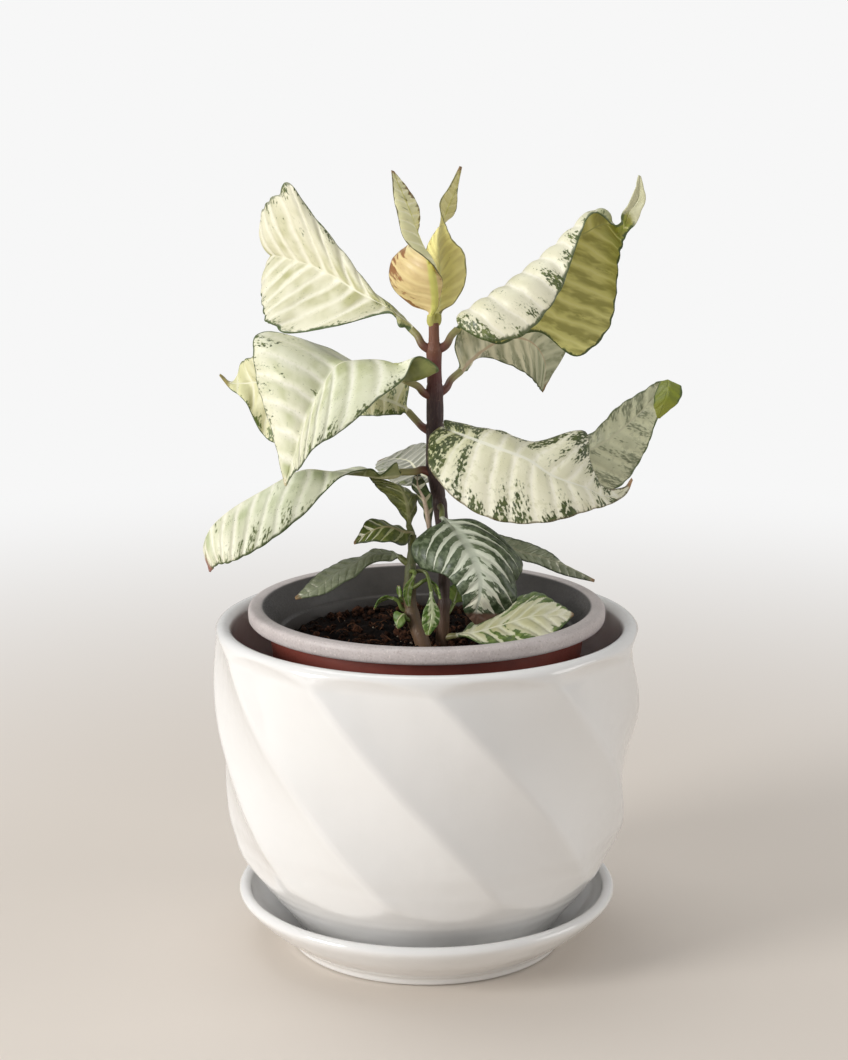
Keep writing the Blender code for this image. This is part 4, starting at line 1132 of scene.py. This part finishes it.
LOOKS = {
    # The crown leaves' tones are lightened past their own pale yellow, as painted light shining through the
    # thin young leaves; crown_left's tip end is also painted lighter where it faces away from the lamps.
    "leaf_crown_left": dict(
        base=(222, 220, 176), far=(236, 232, 182), far_start=0.42, tint=(176, 176, 120),
        rib=(206, 204, 106), rib_width=1.7, mark=(130, 100, 56), left=0.1, right=1.2, inner=0.35,
        patchy=2.6, fullest=1.2, grain=0.9, soft=0.1, halo=0.5, specks=0.0, edge=(88, 84, 48),
        edge_left=0.95, edge_right=0.7, edge_width=0.25, stalk=(190, 186, 104),
        stalk_foot=(150, 120, 84), under=(224, 202, 144), under_far=(226, 224, 180),
        under_vein=(230, 212, 156), under_dark=(146, 100, 58), under_band=0.25, under_marks=1.0,
        under_rib=(206, 206, 106), spacing=4.0, slope_left=0.5, slope_right=0.5, relief=0.25,
        scallop=0.1,
    ),
    # Painted light here too: the underside tones are lightened past the leaf's own colour, for light
    # shining through it.
    "leaf_crown_right": dict(
        base=(232, 226, 180), far=(214, 208, 146), far_start=0.55, tint=(186, 180, 116),
        vein_amount=0.15, rib=(206, 204, 116), rib_width=1.2, mark=(104, 100, 52), left=0.1, right=0.9,
        specks=0.0, edge=(92, 92, 46), edge_left=0.8, edge_right=0.8, edge_width=0.25,
        stalk=(190, 186, 104), stalk_foot=(150, 120, 84), under=(250, 240, 160),
        under_far=(226, 220, 146), under_vein=(246, 238, 172), under_dark=(170, 150, 84),
        under_band=0.3, under_marks=0.6, under_rib=(226, 222, 150), spacing=3.4, slope_left=0.5,
        slope_right=0.5, relief=0.2, scallop=0.1,
    ),
    "leaf_upper_left": dict(
        near=(160, 160, 108), near_end=0.3, tint=(178, 177, 126), tint_amount=1.0, vein_amount=0.25,
        vein_width=0.18, rib_width=0.6, left=0.5, right=0.7, inner=0.72, near_marks=0.4, specks=0.9,
        edge_left=1.0, edge_right=0.6, edge_width=0.85, spacing=6.8, slope_left=0.6, slope_right=-0.15,
        relief=0.55, scallop=0.6,
    ),
    # Its underside tones are lightened past the leaf's own colour, as painted light, where the underside
    # faces away from the lamps.
    "leaf_upper_right": dict(
        near=(120, 126, 70), near_end=0.1, far=(140, 148, 72), far_start=0.5, tint_amount=0.5,
        vein_amount=0.75, rib_width=0.5, left=0.4, right=0.6, inner=0.35, near_marks=0.3, patchy=2.6,
        grain=1.8, edge_left=1.0, edge_right=0.9, edge_width=0.85, tip=(206, 205, 170), tip_start=0.8,
        under=(232, 228, 144), under_far=(150, 162, 60), under_vein=(238, 234, 164),
        under_dark=(156, 152, 74), under_band=0.8, under_marks=0.5, under_rib=(176, 178, 104),
        spacing=7.0, slope_left=0.8, slope_right=0.55, relief=0.8, scallop=0.5,
    ),
    "leaf_mid_left_front": dict(
        base=(232, 233, 208), tint=(176, 182, 128), tint_amount=0.9, mottle=0.35, left=0.6, right=0.6,
        inner=0.6, patchy=2.6, specks=0.9, edge_left=0.9, edge_right=0.95, edge_width=0.6,
        tip=(206, 192, 152), tip_start=0.985, under=(144, 148, 84), under_far=(172, 174, 124),
        under_dark=(98, 108, 54), spacing=7.5, slope_left=0.1, relief=0.35,
    ),
    "leaf_mid_left_back": dict(
        base=(228, 224, 182), near=(206, 202, 140), near_end=0.2, far=(222, 220, 172),
        mark=(92, 108, 48), left=0.9, right=0.8, near_marks=0.8, edge_left=0.95, edge_right=0.8,
        tip=(140, 128, 70), tip_start=0.88, under=(214, 208, 158), under_far=(206, 204, 150),
        under_dark=(146, 150, 84),
    ),
    # Its underside tones are lightened past the leaf's own colour, as painted light, where the leaf lies in
    # shade.
    "leaf_right_back_upper": dict(
        vein_amount=0.2, rib=(170, 152, 126), left=0.9, right=0.8, middle=0.1, inner=0.3, patchy=2.8,
        soft=0.1, edge_left=0.95, edge_right=0.95, under=(224, 220, 186), under_far=(196, 198, 166),
        under_vein=(222, 218, 192), under_dark=(118, 126, 90), under_band=0.65, under_marks=0.7,
        under_rib=(190, 168, 136), slope_left=0.6, slope_right=0.6,
    ),
    "leaf_mid_right_front": dict(
        near=(214, 216, 166), near_end=0.3, tint_amount=0.55, mottle=0.45, rib=(232, 231, 214),
        mark=(60, 72, 34), mark_light=(96, 106, 58), left=1.35, right=1.0, inner=0.05, near_marks=1.8,
        guard=0.9, patchy=2.8, fullest=1.0, halo=0.35, edge=(92, 80, 52), edge_left=0.85,
        edge_right=0.7, tip=(176, 140, 104), tip_start=0.93, relief=0.25, scallop=0.25,
    ),
    "leaf_mid_right_back": dict(
        base=(206, 206, 172), far=(196, 197, 162), tint=(150, 152, 124), tint_amount=0.7, mottle=0.5,
        vein_amount=0.0, rib=(192, 190, 160), rib_width=0.5, mark=(116, 120, 92),
        mark_light=(140, 144, 116), left=0.6, right=0.5, middle=0.35, inner=0.1, patchy=3.0,
        fullest=0.85, soft=0.14, halo=0.5, specks=0.2, edge_left=0.8, edge_right=0.95, edge_width=0.6,
        tip=(130, 134, 44), tip_start=0.9, under=(140, 148, 48), under_far=(128, 138, 34),
        under_vein=(150, 156, 60), under_dark=(104, 112, 36), under_marks=0.2,
        under_rib=(140, 148, 48), slope_left=0.7, slope_right=0.7, relief=0.12,
    ),
    "leaf_low_left": dict(
        base=(232, 234, 210), near=(150, 154, 104), near_end=0.25, tint=(172, 182, 136),
        tint_amount=0.95, mottle=0.35, left=0.6, right=0.25, inner=0.5, patchy=2.6, halo=0.5,
        specks=0.9, edge_left=0.95, edge_right=0.5, edge_width=0.6, tip=(140, 92, 78), tip_start=0.95,
        under=(124, 130, 74), under_far=(152, 158, 116), slope_left=0.25, slope_right=0.3, relief=0.2,
    ),
    "leaf_low_back": dict(
        base=(186, 186, 174), far=(186, 186, 174), tint=(112, 114, 98), tint_amount=0.9,
        mark=(84, 90, 74), left=0.3, right=0.3, middle=0.3, inner=0.1, soft=0.12, specks=0.0,
        spacing=4.5,
    ),
    "side_leaf_up_left": dict(
        GREEN, base=(164, 168, 104), vein=(160, 164, 110), rib=(170, 170, 122), mark=(104, 112, 54),
        mark_light=(140, 146, 80), guard=1.4,
    ),
    "side_leaf_by_stem": dict(
        GREEN, base=(170, 164, 132), rib=(196, 172, 152), rib_width=1.2, mark=(52, 62, 30), guard=2.6,
        spacing=5.0,
    ),
    "side_leaf_left": dict(
        GREEN, base=(176, 178, 128), vein=(166, 166, 122), rib=(176, 164, 124), mark=(80, 92, 38),
        mark_light=(116, 124, 58), guard=2.2, spacing=3.8,
    ),
    "side_leaf_low_left": dict(
        GREEN, base=(184, 190, 166), vein_amount=0.05, rib=(150, 156, 130), rib_width=0.6,
        mark=(136, 144, 114), mark_light=(160, 166, 136), guard=0.5, patchy=2.4, soft=0.1, haze=0.8,
        edge=(80, 90, 58), spacing=3.2,
    ),
    "side_leaf_front": dict(
        GREEN, base=(208, 212, 194), taper=0.16, rib=(184, 190, 172), rib_width=2.0, mark=(54, 68, 40),
        mark_light=(110, 122, 94), left=1.8, right=1.8, middle=0.95, inner=0.1, guard=2.5, patchy=2.2,
        grain=1.0, soft=0.05, haze=0.8, tip=(112, 86, 70), tip_start=0.88, spacing=5.2, bend=0.02,
        relief=0.4,
    ),
    "side_leaf_right": dict(
        GREEN, base=(172, 178, 152), vein_amount=0.1, rib=(160, 162, 134), mark=(124, 132, 104),
        mark_light=(150, 156, 128), guard=0.9, patchy=2.2, soft=0.08, spacing=3.6,
    ),
    "sprout_hanging": dict(
        base=(206, 212, 172), tint=(160, 178, 112), vein_amount=0.1, left=2.2, right=1.6, middle=0.3,
        inner=0.15, guard=0.3, patchy=2.0, grain=0.7, edge=(128, 152, 84),
    ),
    "sprout_round": dict(
        base=(206, 212, 172), vein_amount=0.1, mark=(84, 124, 40), mark_light=(116, 152, 60), left=1.9,
        right=0.6, middle=0.3, inner=0.1, guard=0.2,
    ),
    "side_leaf_in_pot": dict(
        base=(222, 221, 190), tint=(190, 186, 130), tint_amount=0.8, mottle=0.4, vein_amount=0.2,
        rib_width=0.5, mark=(78, 100, 40), mark_light=(126, 146, 74), left=1.5, right=1.5, middle=0.1,
        inner=0.3, guard=0.9, patchy=4.0, fullest=1.5, grain=0.7, specks=0.2, edge=(84, 106, 52),
        edge_left=0.9, edge_right=0.9, edge_width=0.7, spacing=5.2, slope_left=0.7, slope_right=0.7,
    ),
}


class LeafSurface(Surface):
    """A waxy leaf: pale veins, a tint and dark marks between them, a dark margin and a brown tip."""

    def __init__(self, name, look):
        super().__init__(name, look.gloss)
        self.look = look
        self.along, self.across, self.margin = self.attribute(PLACE)
        self.share, self.up, spread = self.attribute(SIDE)
        self.layer = self.up * 3.0
        self.flat = self.join(self.along, self.across, self.layer)
        self.width = self.math("ABSOLUTE", self.across)
        self.reach = self.math("ABSOLUTE", spread)
        self.fine = self.noise(self.flat, 0.55, 3.0, 0.6)
        self.trace_veins()
        self.trace_marks()
        blade = self.mix(self.smooth(self.up, 0.3, 0.7), self.underside(), self.upper_side())
        self.give(
            Base_Color=self.with_ends(self.with_margin(blade)),
            Roughness=self.smooth(self.fine, 0.3, 0.7, look.gloss - 0.06, look.gloss + 0.08),
        )
        puffed = self.between * self.smooth(self.reach, 0.0, 0.15)
        self.bump(puffed + self.noise(self.flat, 1.8, 3.0, 0.6) * 0.25, 0.22)

    def half(self, left, right):
        """A value that differs on the two halves of the blade."""
        return self.smooth(self.across, -0.6, 0.6, left, right)

    def ground(self, near, far):
        """The blade's plain colour, which goes over to far along it and starts from the near tone."""
        look = self.look
        ends = self.mix(self.smooth(self.share, look.far_start, look.far_start + 0.2), near, far)
        return self.mix(self.smooth(self.share, look.near_end, 0.5 * look.near_end), ends, look.near)

    def trace_veins(self):
        """Side veins that leave the rib at a slant. Positions count 0 on a vein and 0.5 between two."""
        look = self.look
        drift = (self.noise(self.flat, 0.09) - 0.5) * 0.5
        turn_back = self.width * self.half(look.slope_left, look.slope_right)
        forward = self.along - turn_back - self.width * self.width * look.bend
        wave = forward / look.spacing + drift
        from_vein = self.math("PINGPONG", wave, 0.5) + self.reach * look.taper
        self.between = self.smooth(from_vein, 0.04, 0.34)
        self.veins = self.smooth(from_vein, look.vein_width, 0.01, 0.0, look.vein_amount)
        self.lane = self.join(forward, self.across * 0.5, self.layer)
        rib_width = self.smooth(self.share, 0.0, 1.0, look.rib_width, 0.15)
        self.rib = self.smooth(self.width / rib_width, 1.3, 0.5)

    def trace_marks(self):
        """Dark marks where the grain passes a level, which drops as the marks should cover more."""
        look = self.look
        self.grain = self.noise(self.lane, look.grain, 2.0, 0.5)
        cluster = self.noise(self.lane, 0.2, 1.0) - 0.5
        toward = self.smooth(self.reach, look.inner, 1.0)
        cover = self.half(look.left, look.right) * toward + cluster * look.patchy + look.middle
        cover = cover + self.smooth(self.share, 0.35, 0.0, 0.0, look.near_marks)
        cover = cover - (1.0 - self.between) * look.guard
        cover = self.math("MINIMUM", self.largest(cover, 0.0), look.fullest)
        level = 0.80 - cover * 0.36
        marks = self.smooth(self.grain, level - look.soft, level + look.soft)
        self.halo = self.smooth(self.grain, level - 0.16, level, 0.0, look.halo)
        dust = self.smooth(self.noise(self.flat, 2.0, 1.0), 0.70, 0.73)
        dust = dust * self.smooth(self.noise(self.flat, 0.11, 1.0), 0.46, 0.56)
        self.marks = self.largest(marks, dust * look.specks)

    def upper_side(self):
        look = self.look
        cloud = self.noise(self.flat, 0.12, 2.0)
        deep = self.between * self.smooth(cloud, 0.3, 0.7, 0.25, look.tint_amount)
        deep = deep * self.smooth(self.reach, 1.0, 0.1, 0.4, 1.0)
        deep = self.largest(deep, self.smooth(self.fine, 0.45, 0.7, 0.0, look.mottle))
        haze = self.smooth(self.reach, 0.45, 0.1, 0.0, look.haze)
        pale = self.largest(self.smooth(self.fine, 0.4, 0.7), haze)
        colour = self.mix(deep, self.ground(look.base, look.far), look.tint)
        colour = self.mix(self.veins, colour, look.vein)
        colour = self.mix(self.halo, colour, look.mark_light)
        colour = self.mix(self.marks, colour, self.mix(pale, look.mark, look.mark_light))
        return self.mix(self.rib * 0.85, colour, look.rib)

    def underside(self):
        look = self.look
        blotch = self.noise(self.lane, 0.3, 2.0, 0.6)
        band = self.between * self.smooth(blotch, 0.35, 0.6, 0.2, 1.0) * look.under_band
        colour = self.mix(band, self.ground(look.under, look.under_far), look.under_dark)
        colour = self.mix(self.veins * 0.9, colour, look.under_vein)
        colour = self.mix(self.marks * look.under_marks, colour, look.under_dark)
        return self.mix(self.rib * 0.9, colour, look.under_rib)

    def with_margin(self, colour):
        """Adds the dark line along the margin, uneven in width."""
        look = self.look
        uneven = self.smooth(self.noise(self.flat, 0.35), 0.3, 0.7, 0.4, 1.5)
        line = self.smooth(self.margin / uneven, look.edge_width * 1.5, look.edge_width * 0.6)
        return self.mix(line * self.half(look.edge_left, look.edge_right), colour, look.edge)

    def with_ends(self, colour):
        """Adds the ragged brown tip and the stalk."""
        look = self.look
        ragged = self.share + self.grain * 0.04
        end = self.smooth(ragged, look.tip_start, look.tip_start + 0.04)
        colour = self.mix(end, colour, look.tip)
        stalk = self.mix(self.smooth(self.along, -9.0, -2.0), look.stalk_foot, look.stalk)
        return self.mix(self.smooth(self.along, 0.6, -0.6), colour, stalk)


def blade_line(rib, edges, bows, tangent, wave, half):
    """Points across the blade, each with its distance from the rib, signed, and from the margin."""
    points, distances = [], []
    for k in range(-half, half + 1):
        out = abs(k) / half
        edge, bow, sign = (edges[0], bows[0], -1) if k < 0 else (edges[1], bows[1], 1)
        across = edge - rib
        lift = np.cross(sign * across, tangent)
        lift = lift / max(np.linalg.norm(lift), 1e-6)
        points.append(rib + across * out + lift * (4 * bow * out * (1 - out) + wave * sign * out**2))
        width = np.linalg.norm(across)
        distances.append((sign * out * width, (1 - out) * width))
    return points, distances


def blade_rows(shape):
    """Middle surface of a blade with each point's place: along, across and from the margin in mm."""
    base, tip = np.array(shape.base, float), np.array(shape.tip, float)
    lefts, ribs, rights = (np.array([row[k] for row in shape.rows], float) for k in range(3))
    first = unit(rights[0] - lefts[0]) * shape.stalk_radius
    last = unit(rights[-1] - lefts[-1]) * TIP_HALF_WIDTH
    lefts = [base - first, *lefts, tip - last]
    rights = [base + first, *rights, tip + last]
    ribs = [base, *ribs, tip]
    no_bow = (0.0, 0.0)
    bows = [no_bow] + [row[3:] or no_bow for row in shape.rows] + [no_bow]
    count = (len(ribs) - 1) * STATIONS_PER_ROW
    grid, places = [], []
    along, before = 0.0, base
    for station in range(count + 1):
        share = station / count
        rib, left, right, bow = (spline(line, share) for line in (ribs, lefts, rights, bows))
        ahead, behind = min(share + TANGENT_STEP, 1), max(share - TANGENT_STEP, 0)
        tangent = unit(spline(ribs, ahead) - spline(ribs, behind))
        wave = shape.wave * math.sin(math.pi * share) * math.sin(2 * math.pi * WAVES * share)
        along += np.linalg.norm(rib - before)
        before = rib
        points, distances = blade_line(rib, (left, right), bow, tangent, wave, shape.points_per_half)
        grid.append(points)
        places.append([(along, *distance) for distance in distances])
    return np.array(grid), np.array(places)


def surface_normals(grid):
    normals = np.cross(np.gradient(grid, axis=1), np.gradient(grid, axis=0))
    return normals / np.maximum(np.linalg.norm(normals, axis=2, keepdims=True), 1e-9)


def puckered(grid, places, normals, look):
    """Lifts the blade between its side veins, swells its margin there and adds soft uneven dents."""
    along, across, margin = places[..., 0], places[..., 1], places[..., 2]
    width = np.abs(across)
    slope = np.where(across < 0, look.slope_left, look.slope_right)
    wave = (along - slope * width - look.bend * width**2) / look.spacing
    from_vein = np.abs(wave - np.round(wave))
    puff = 1 - np.exp(-((from_vein / 0.22) ** 2))
    lift = look.relief * (puff - 0.6)
    lift *= np.clip(width / 2.5, 0, 1) * (0.5 + 0.5 * np.clip(margin / 3.0, 0, 1))
    dents = np.array([
        [noise.noise(Vector(point * 0.07)) + 0.3 * noise.noise(Vector(point * 0.24)) for point in row]
        for row in grid
    ])
    lift += 0.6 * look.relief * dents
    outward = np.gradient(grid, axis=1) * np.sign(across)[..., None]
    outward /= np.maximum(np.linalg.norm(outward, axis=2, keepdims=True), 1e-9)
    swell = look.scallop * (puff - 0.6) * np.clip(width / 6.0, 0, 1) * np.exp(-margin / 2.0)
    return grid + normals * lift[..., None] + outward * swell[..., None]


def nearest_joint(point):
    """The point on a stem's middle line that a stalk starting at this point grows from."""
    spots = []
    for stem in (MAIN_STEM, SIDE_STEM):
        route = [centre for centre, _ in stem]
        spots += [spline(route, k / STEM_SEARCH_STEPS) for k in range(STEM_SEARCH_STEPS + 1)]
    nearest = min(spots, key=lambda spot: np.linalg.norm(spot - point))
    return nearest - np.array((0.0, 0.0, 0.5 * np.linalg.norm(nearest - point)))


def round_ring(centre, across, upper, radius, width):
    """A ring of points round the stalk, width of them over its top and as many back under it."""
    first, span = 180 - STALK_EDGE, 180 - 2 * STALK_EDGE
    turns = [math.radians(first - span * k / (width - 1)) for k in range(width)]
    top = [centre + radius * (math.cos(a) * across + math.sin(a) * upper) for a in turns]
    low = [centre + radius * (math.cos(a) * across - math.sin(a) * upper) for a in turns]
    return top + low[::-1]


def stalk_rings(shape, side, width):
    """Rings round the stalk from the stem to the blade, and their points' two attributes."""
    route = [np.array(point, float) for point in (*shape.stalk, shape.base)]
    route.insert(0, nearest_joint(route[0]))
    path = [spline(route, k / STALK_STATIONS) for k in range(STALK_STATIONS + 1)]
    length = sum(np.linalg.norm(b - a) for a, b in zip(path, path[1:]))
    rings, attributes = [], []
    for k in range(STALK_STATIONS, -1, -1):
        tangent = unit(path[min(k + 1, STALK_STATIONS)] - path[max(k - 1, 0)])
        side = unit(side - tangent * side.dot(tangent))
        swell = STALK_SWELL * hump(k / STALK_STATIONS * length, STALK_SWELL_REACH)
        radius = shape.stalk_radius * (1 + swell)
        rings.append(round_ring(path[k], side, np.cross(side, tangent), radius, width))
        place = (-length * (1 - k / STALK_STATIONS) - 0.6, 0.0, 10.0)
        attributes.append([(place, (0.0, float(j < width), 0.0)) for j in range(2 * width)])
    return rings[::-1], attributes[::-1]


def blade_ring(shape, points, ups, spread, share):
    """A ring over the blade's top and back under it, thin at the margins and keeled at the rib."""
    keel = [KEEL * shape.stalk_radius * (1 - share) * hump(out, KEEL_REACH) for out in spread]
    thick = [BLADE / 2 * math.sqrt(max(1 - abs(out) ** MARGIN_SQUARENESS, MARGIN_THIN)) for out in spread]
    top = [point + up * deep for point, up, deep in zip(points, ups, thick)]
    low = [point - up * (deep + extra) for point, up, deep, extra in zip(points, ups, thick, keel)]
    return top + low[::-1]


def leaf_rings(shape, look):
    """Rings of points round the stalk and then the blade, and each point's two attributes."""
    grid, places = blade_rows(shape)
    grid = puckered(grid, places, surface_normals(grid), look)
    normals = surface_normals(grid)
    half = shape.points_per_half
    width = 2 * half + 1
    spread = [(k - half) / half for k in range(width)]
    side = unit(grid[STATIONS_PER_ROW][-1] - grid[STATIONS_PER_ROW][0])
    rings, attributes = stalk_rings(shape, side, width)
    for station in range(1, len(grid)):
        points, ups = grid[station], normals[station]
        share = station / (len(grid) - 1)
        ring = blade_ring(shape, points, ups, spread, share)
        blend = smooth_step(station / STATIONS_PER_ROW)
        if blend < 1:
            across = unit(points[-1] - points[0])
            plain = round_ring(points[half], across, ups[half], shape.stalk_radius, width)
            ring = [flat * blend + tube * (1 - blend) for flat, tube in zip(ring, plain)]
        rings.append(ring)
        row = [(tuple(place), out) for place, out in zip(places[station], spread)]
        over = [(place, (share, 1.0, out)) for place, out in row]
        under = [(place, (share, 0.0, out)) for place, out in row]
        attributes.append(over + under[::-1])
    return rings, attributes


def unroll(mesh, rings, sides):
    """Lays the blade out as one strip, with its two end caps fanned out beside it."""
    layout = mesh.uv_layers.new(name=BAKE_MAP)
    start = rings * sides
    for polygon in mesh.polygons:
        corners = list(polygon.loop_indices)
        numbers = [mesh.loops[k].vertex_index for k in corners]
        columns = [number % sides for number in numbers if number < start]
        wraps = max(columns) - min(columns) > sides / 2
        for corner, number in zip(corners, numbers):
            if number >= start:
                layout.data[corner].uv = (0.0 if number == start else 1.0, 0.5)
                continue
            column = number % sides
            v = (sides if wraps and column == 0 else column) / sides
            u = BAKE_MARGIN + (1 - 2 * BAKE_MARGIN) * (number // sides) / (rings - 1)
            layout.data[corner].uv = (u, v)


def make_leaf(name, shape, look):
    rings, attributes = leaf_rings(shape, look)
    sides = len(rings[0])
    points = [tuple(point) for ring in rings for point in ring]
    start, end = len(points), len(points) + 1
    last = start - sides
    points += [tuple(sum(ring) / sides) for ring in (rings[0], rings[-1])]
    faces = ring_faces(len(rings), sides)
    faces += [((k + 1) % sides, k, start) for k in range(sides)]
    faces += [(last + k, last + (k + 1) % sides, end) for k in range(sides)]
    skin = LeafSurface(f"{name}_skin", look).material
    mesh = add_piece(f"{name}_blade", points, faces, skin, [name]).data

    values = [pair for row in attributes for pair in row] + [attributes[0][0], attributes[-1][0]]
    for number, title in enumerate((PLACE, SIDE)):
        layer = mesh.attributes.new(title, "FLOAT_VECTOR", "POINT")
        layer.data.foreach_set("vector", np.array([pair[number] for pair in values], float).ravel())
    unroll(mesh, len(rings), sides)


def make_leaves():
    for name, shape in LEAVES.items():
        family = SHOOT if name.startswith("sprout") else {}
        make_leaf(name, shape, SimpleNamespace(**{**PLAIN, **family, **LOOKS.get(name, {})}))


# Stage

FLOOR_RADIUS = 30.0
FLOOR_SIDES = 96
FADE_START = 130.0
FADE_END = 800.0
BACKDROP_LEVEL = 0.93
WORLD_LEVEL = 0.44
LIGHT_TARGET = (0.0, 0.0, 0.12)


def floor_paint():
    """Pale paint that fades into the bright backdrop away from the plant, as the camera sees it."""
    paint = Surface("floor_paint", 0.7)
    paint.give(Base_Color=(222, 213, 203))
    x, y, _ = paint.parts(paint.place())
    fade = paint.smooth(paint.from_axis(x, y), FADE_START, FADE_END)
    rays = paint.node("LightPath", {})
    glow = paint.node("Emission", {})
    glow.inputs["Color"].default_value = (BACKDROP_LEVEL, BACKDROP_LEVEL, BACKDROP_LEVEL, 1.0)
    blend = paint.node("MixShader", {0: fade * Field(paint, rays.outputs["Is Camera Ray"])})
    paint.links.new(paint.shader.outputs[0], blend.inputs[1])
    paint.links.new(glow.outputs[0], blend.inputs[2])
    paint.links.new(blend.outputs[0], paint.nodes["Material Output"].inputs["Surface"])
    return paint.material


def add_floor():
    bm = bmesh.new()
    bmesh.ops.create_circle(bm, cap_ends=True, segments=FLOOR_SIDES, radius=FLOOR_RADIUS)
    mesh = bpy.data.meshes.new("floor")
    bm.to_mesh(mesh)
    bm.free()
    mesh.materials.append(floor_paint())
    floor = add_object("floor", mesh)


def add_light(name, place, size, power, colour):
    data = bpy.data.lights.new(name, "AREA")
    data.shape = "DISK"
    data.size = size
    data.energy = power
    data.color = colour
    light = add_object(name, data)
    light.location = place
    light.rotation_euler = (Vector(LIGHT_TARGET) - Vector(place)).to_track_quat("-Z", "Y").to_euler()


def add_world():
    world = bpy.data.worlds.new("studio")
    world.use_nodes = True
    background = world.node_tree.nodes["Background"]
    background.inputs["Color"].default_value = (1.0, 1.0, 1.0, 1.0)
    rays = world.node_tree.nodes.new("ShaderNodeLightPath")
    level = world.node_tree.nodes.new("ShaderNodeMapRange")
    level.inputs["To Min"].default_value = WORLD_LEVEL
    level.inputs["To Max"].default_value = BACKDROP_LEVEL
    world.node_tree.links.new(rays.outputs["Is Camera Ray"], level.inputs["Value"])
    world.node_tree.links.new(level.outputs[0], background.inputs["Strength"])
    bpy.context.scene.world = world
    bpy.context.scene.view_settings.view_transform = "Standard"


def add_stage():
    add_floor()
    add_world()
    add_light("window", (-1.3, -0.7, 0.55), 0.6, 16.0, (1.0, 0.995, 0.98))
    add_light("reflector", (1.25, -0.15, 0.42), 0.7, 3.4, (1.0, 0.985, 0.96))
    add_light("overhead", (-0.3, 0.35, 1.5), 1.0, 5.5, (1.0, 1.0, 1.0))


add_camera()
make_saucer()
make_cachepot()
make_sleeve()
make_liner()
make_soil()
make_soil_litter()
make_stems()
make_leaves()
add_stage()
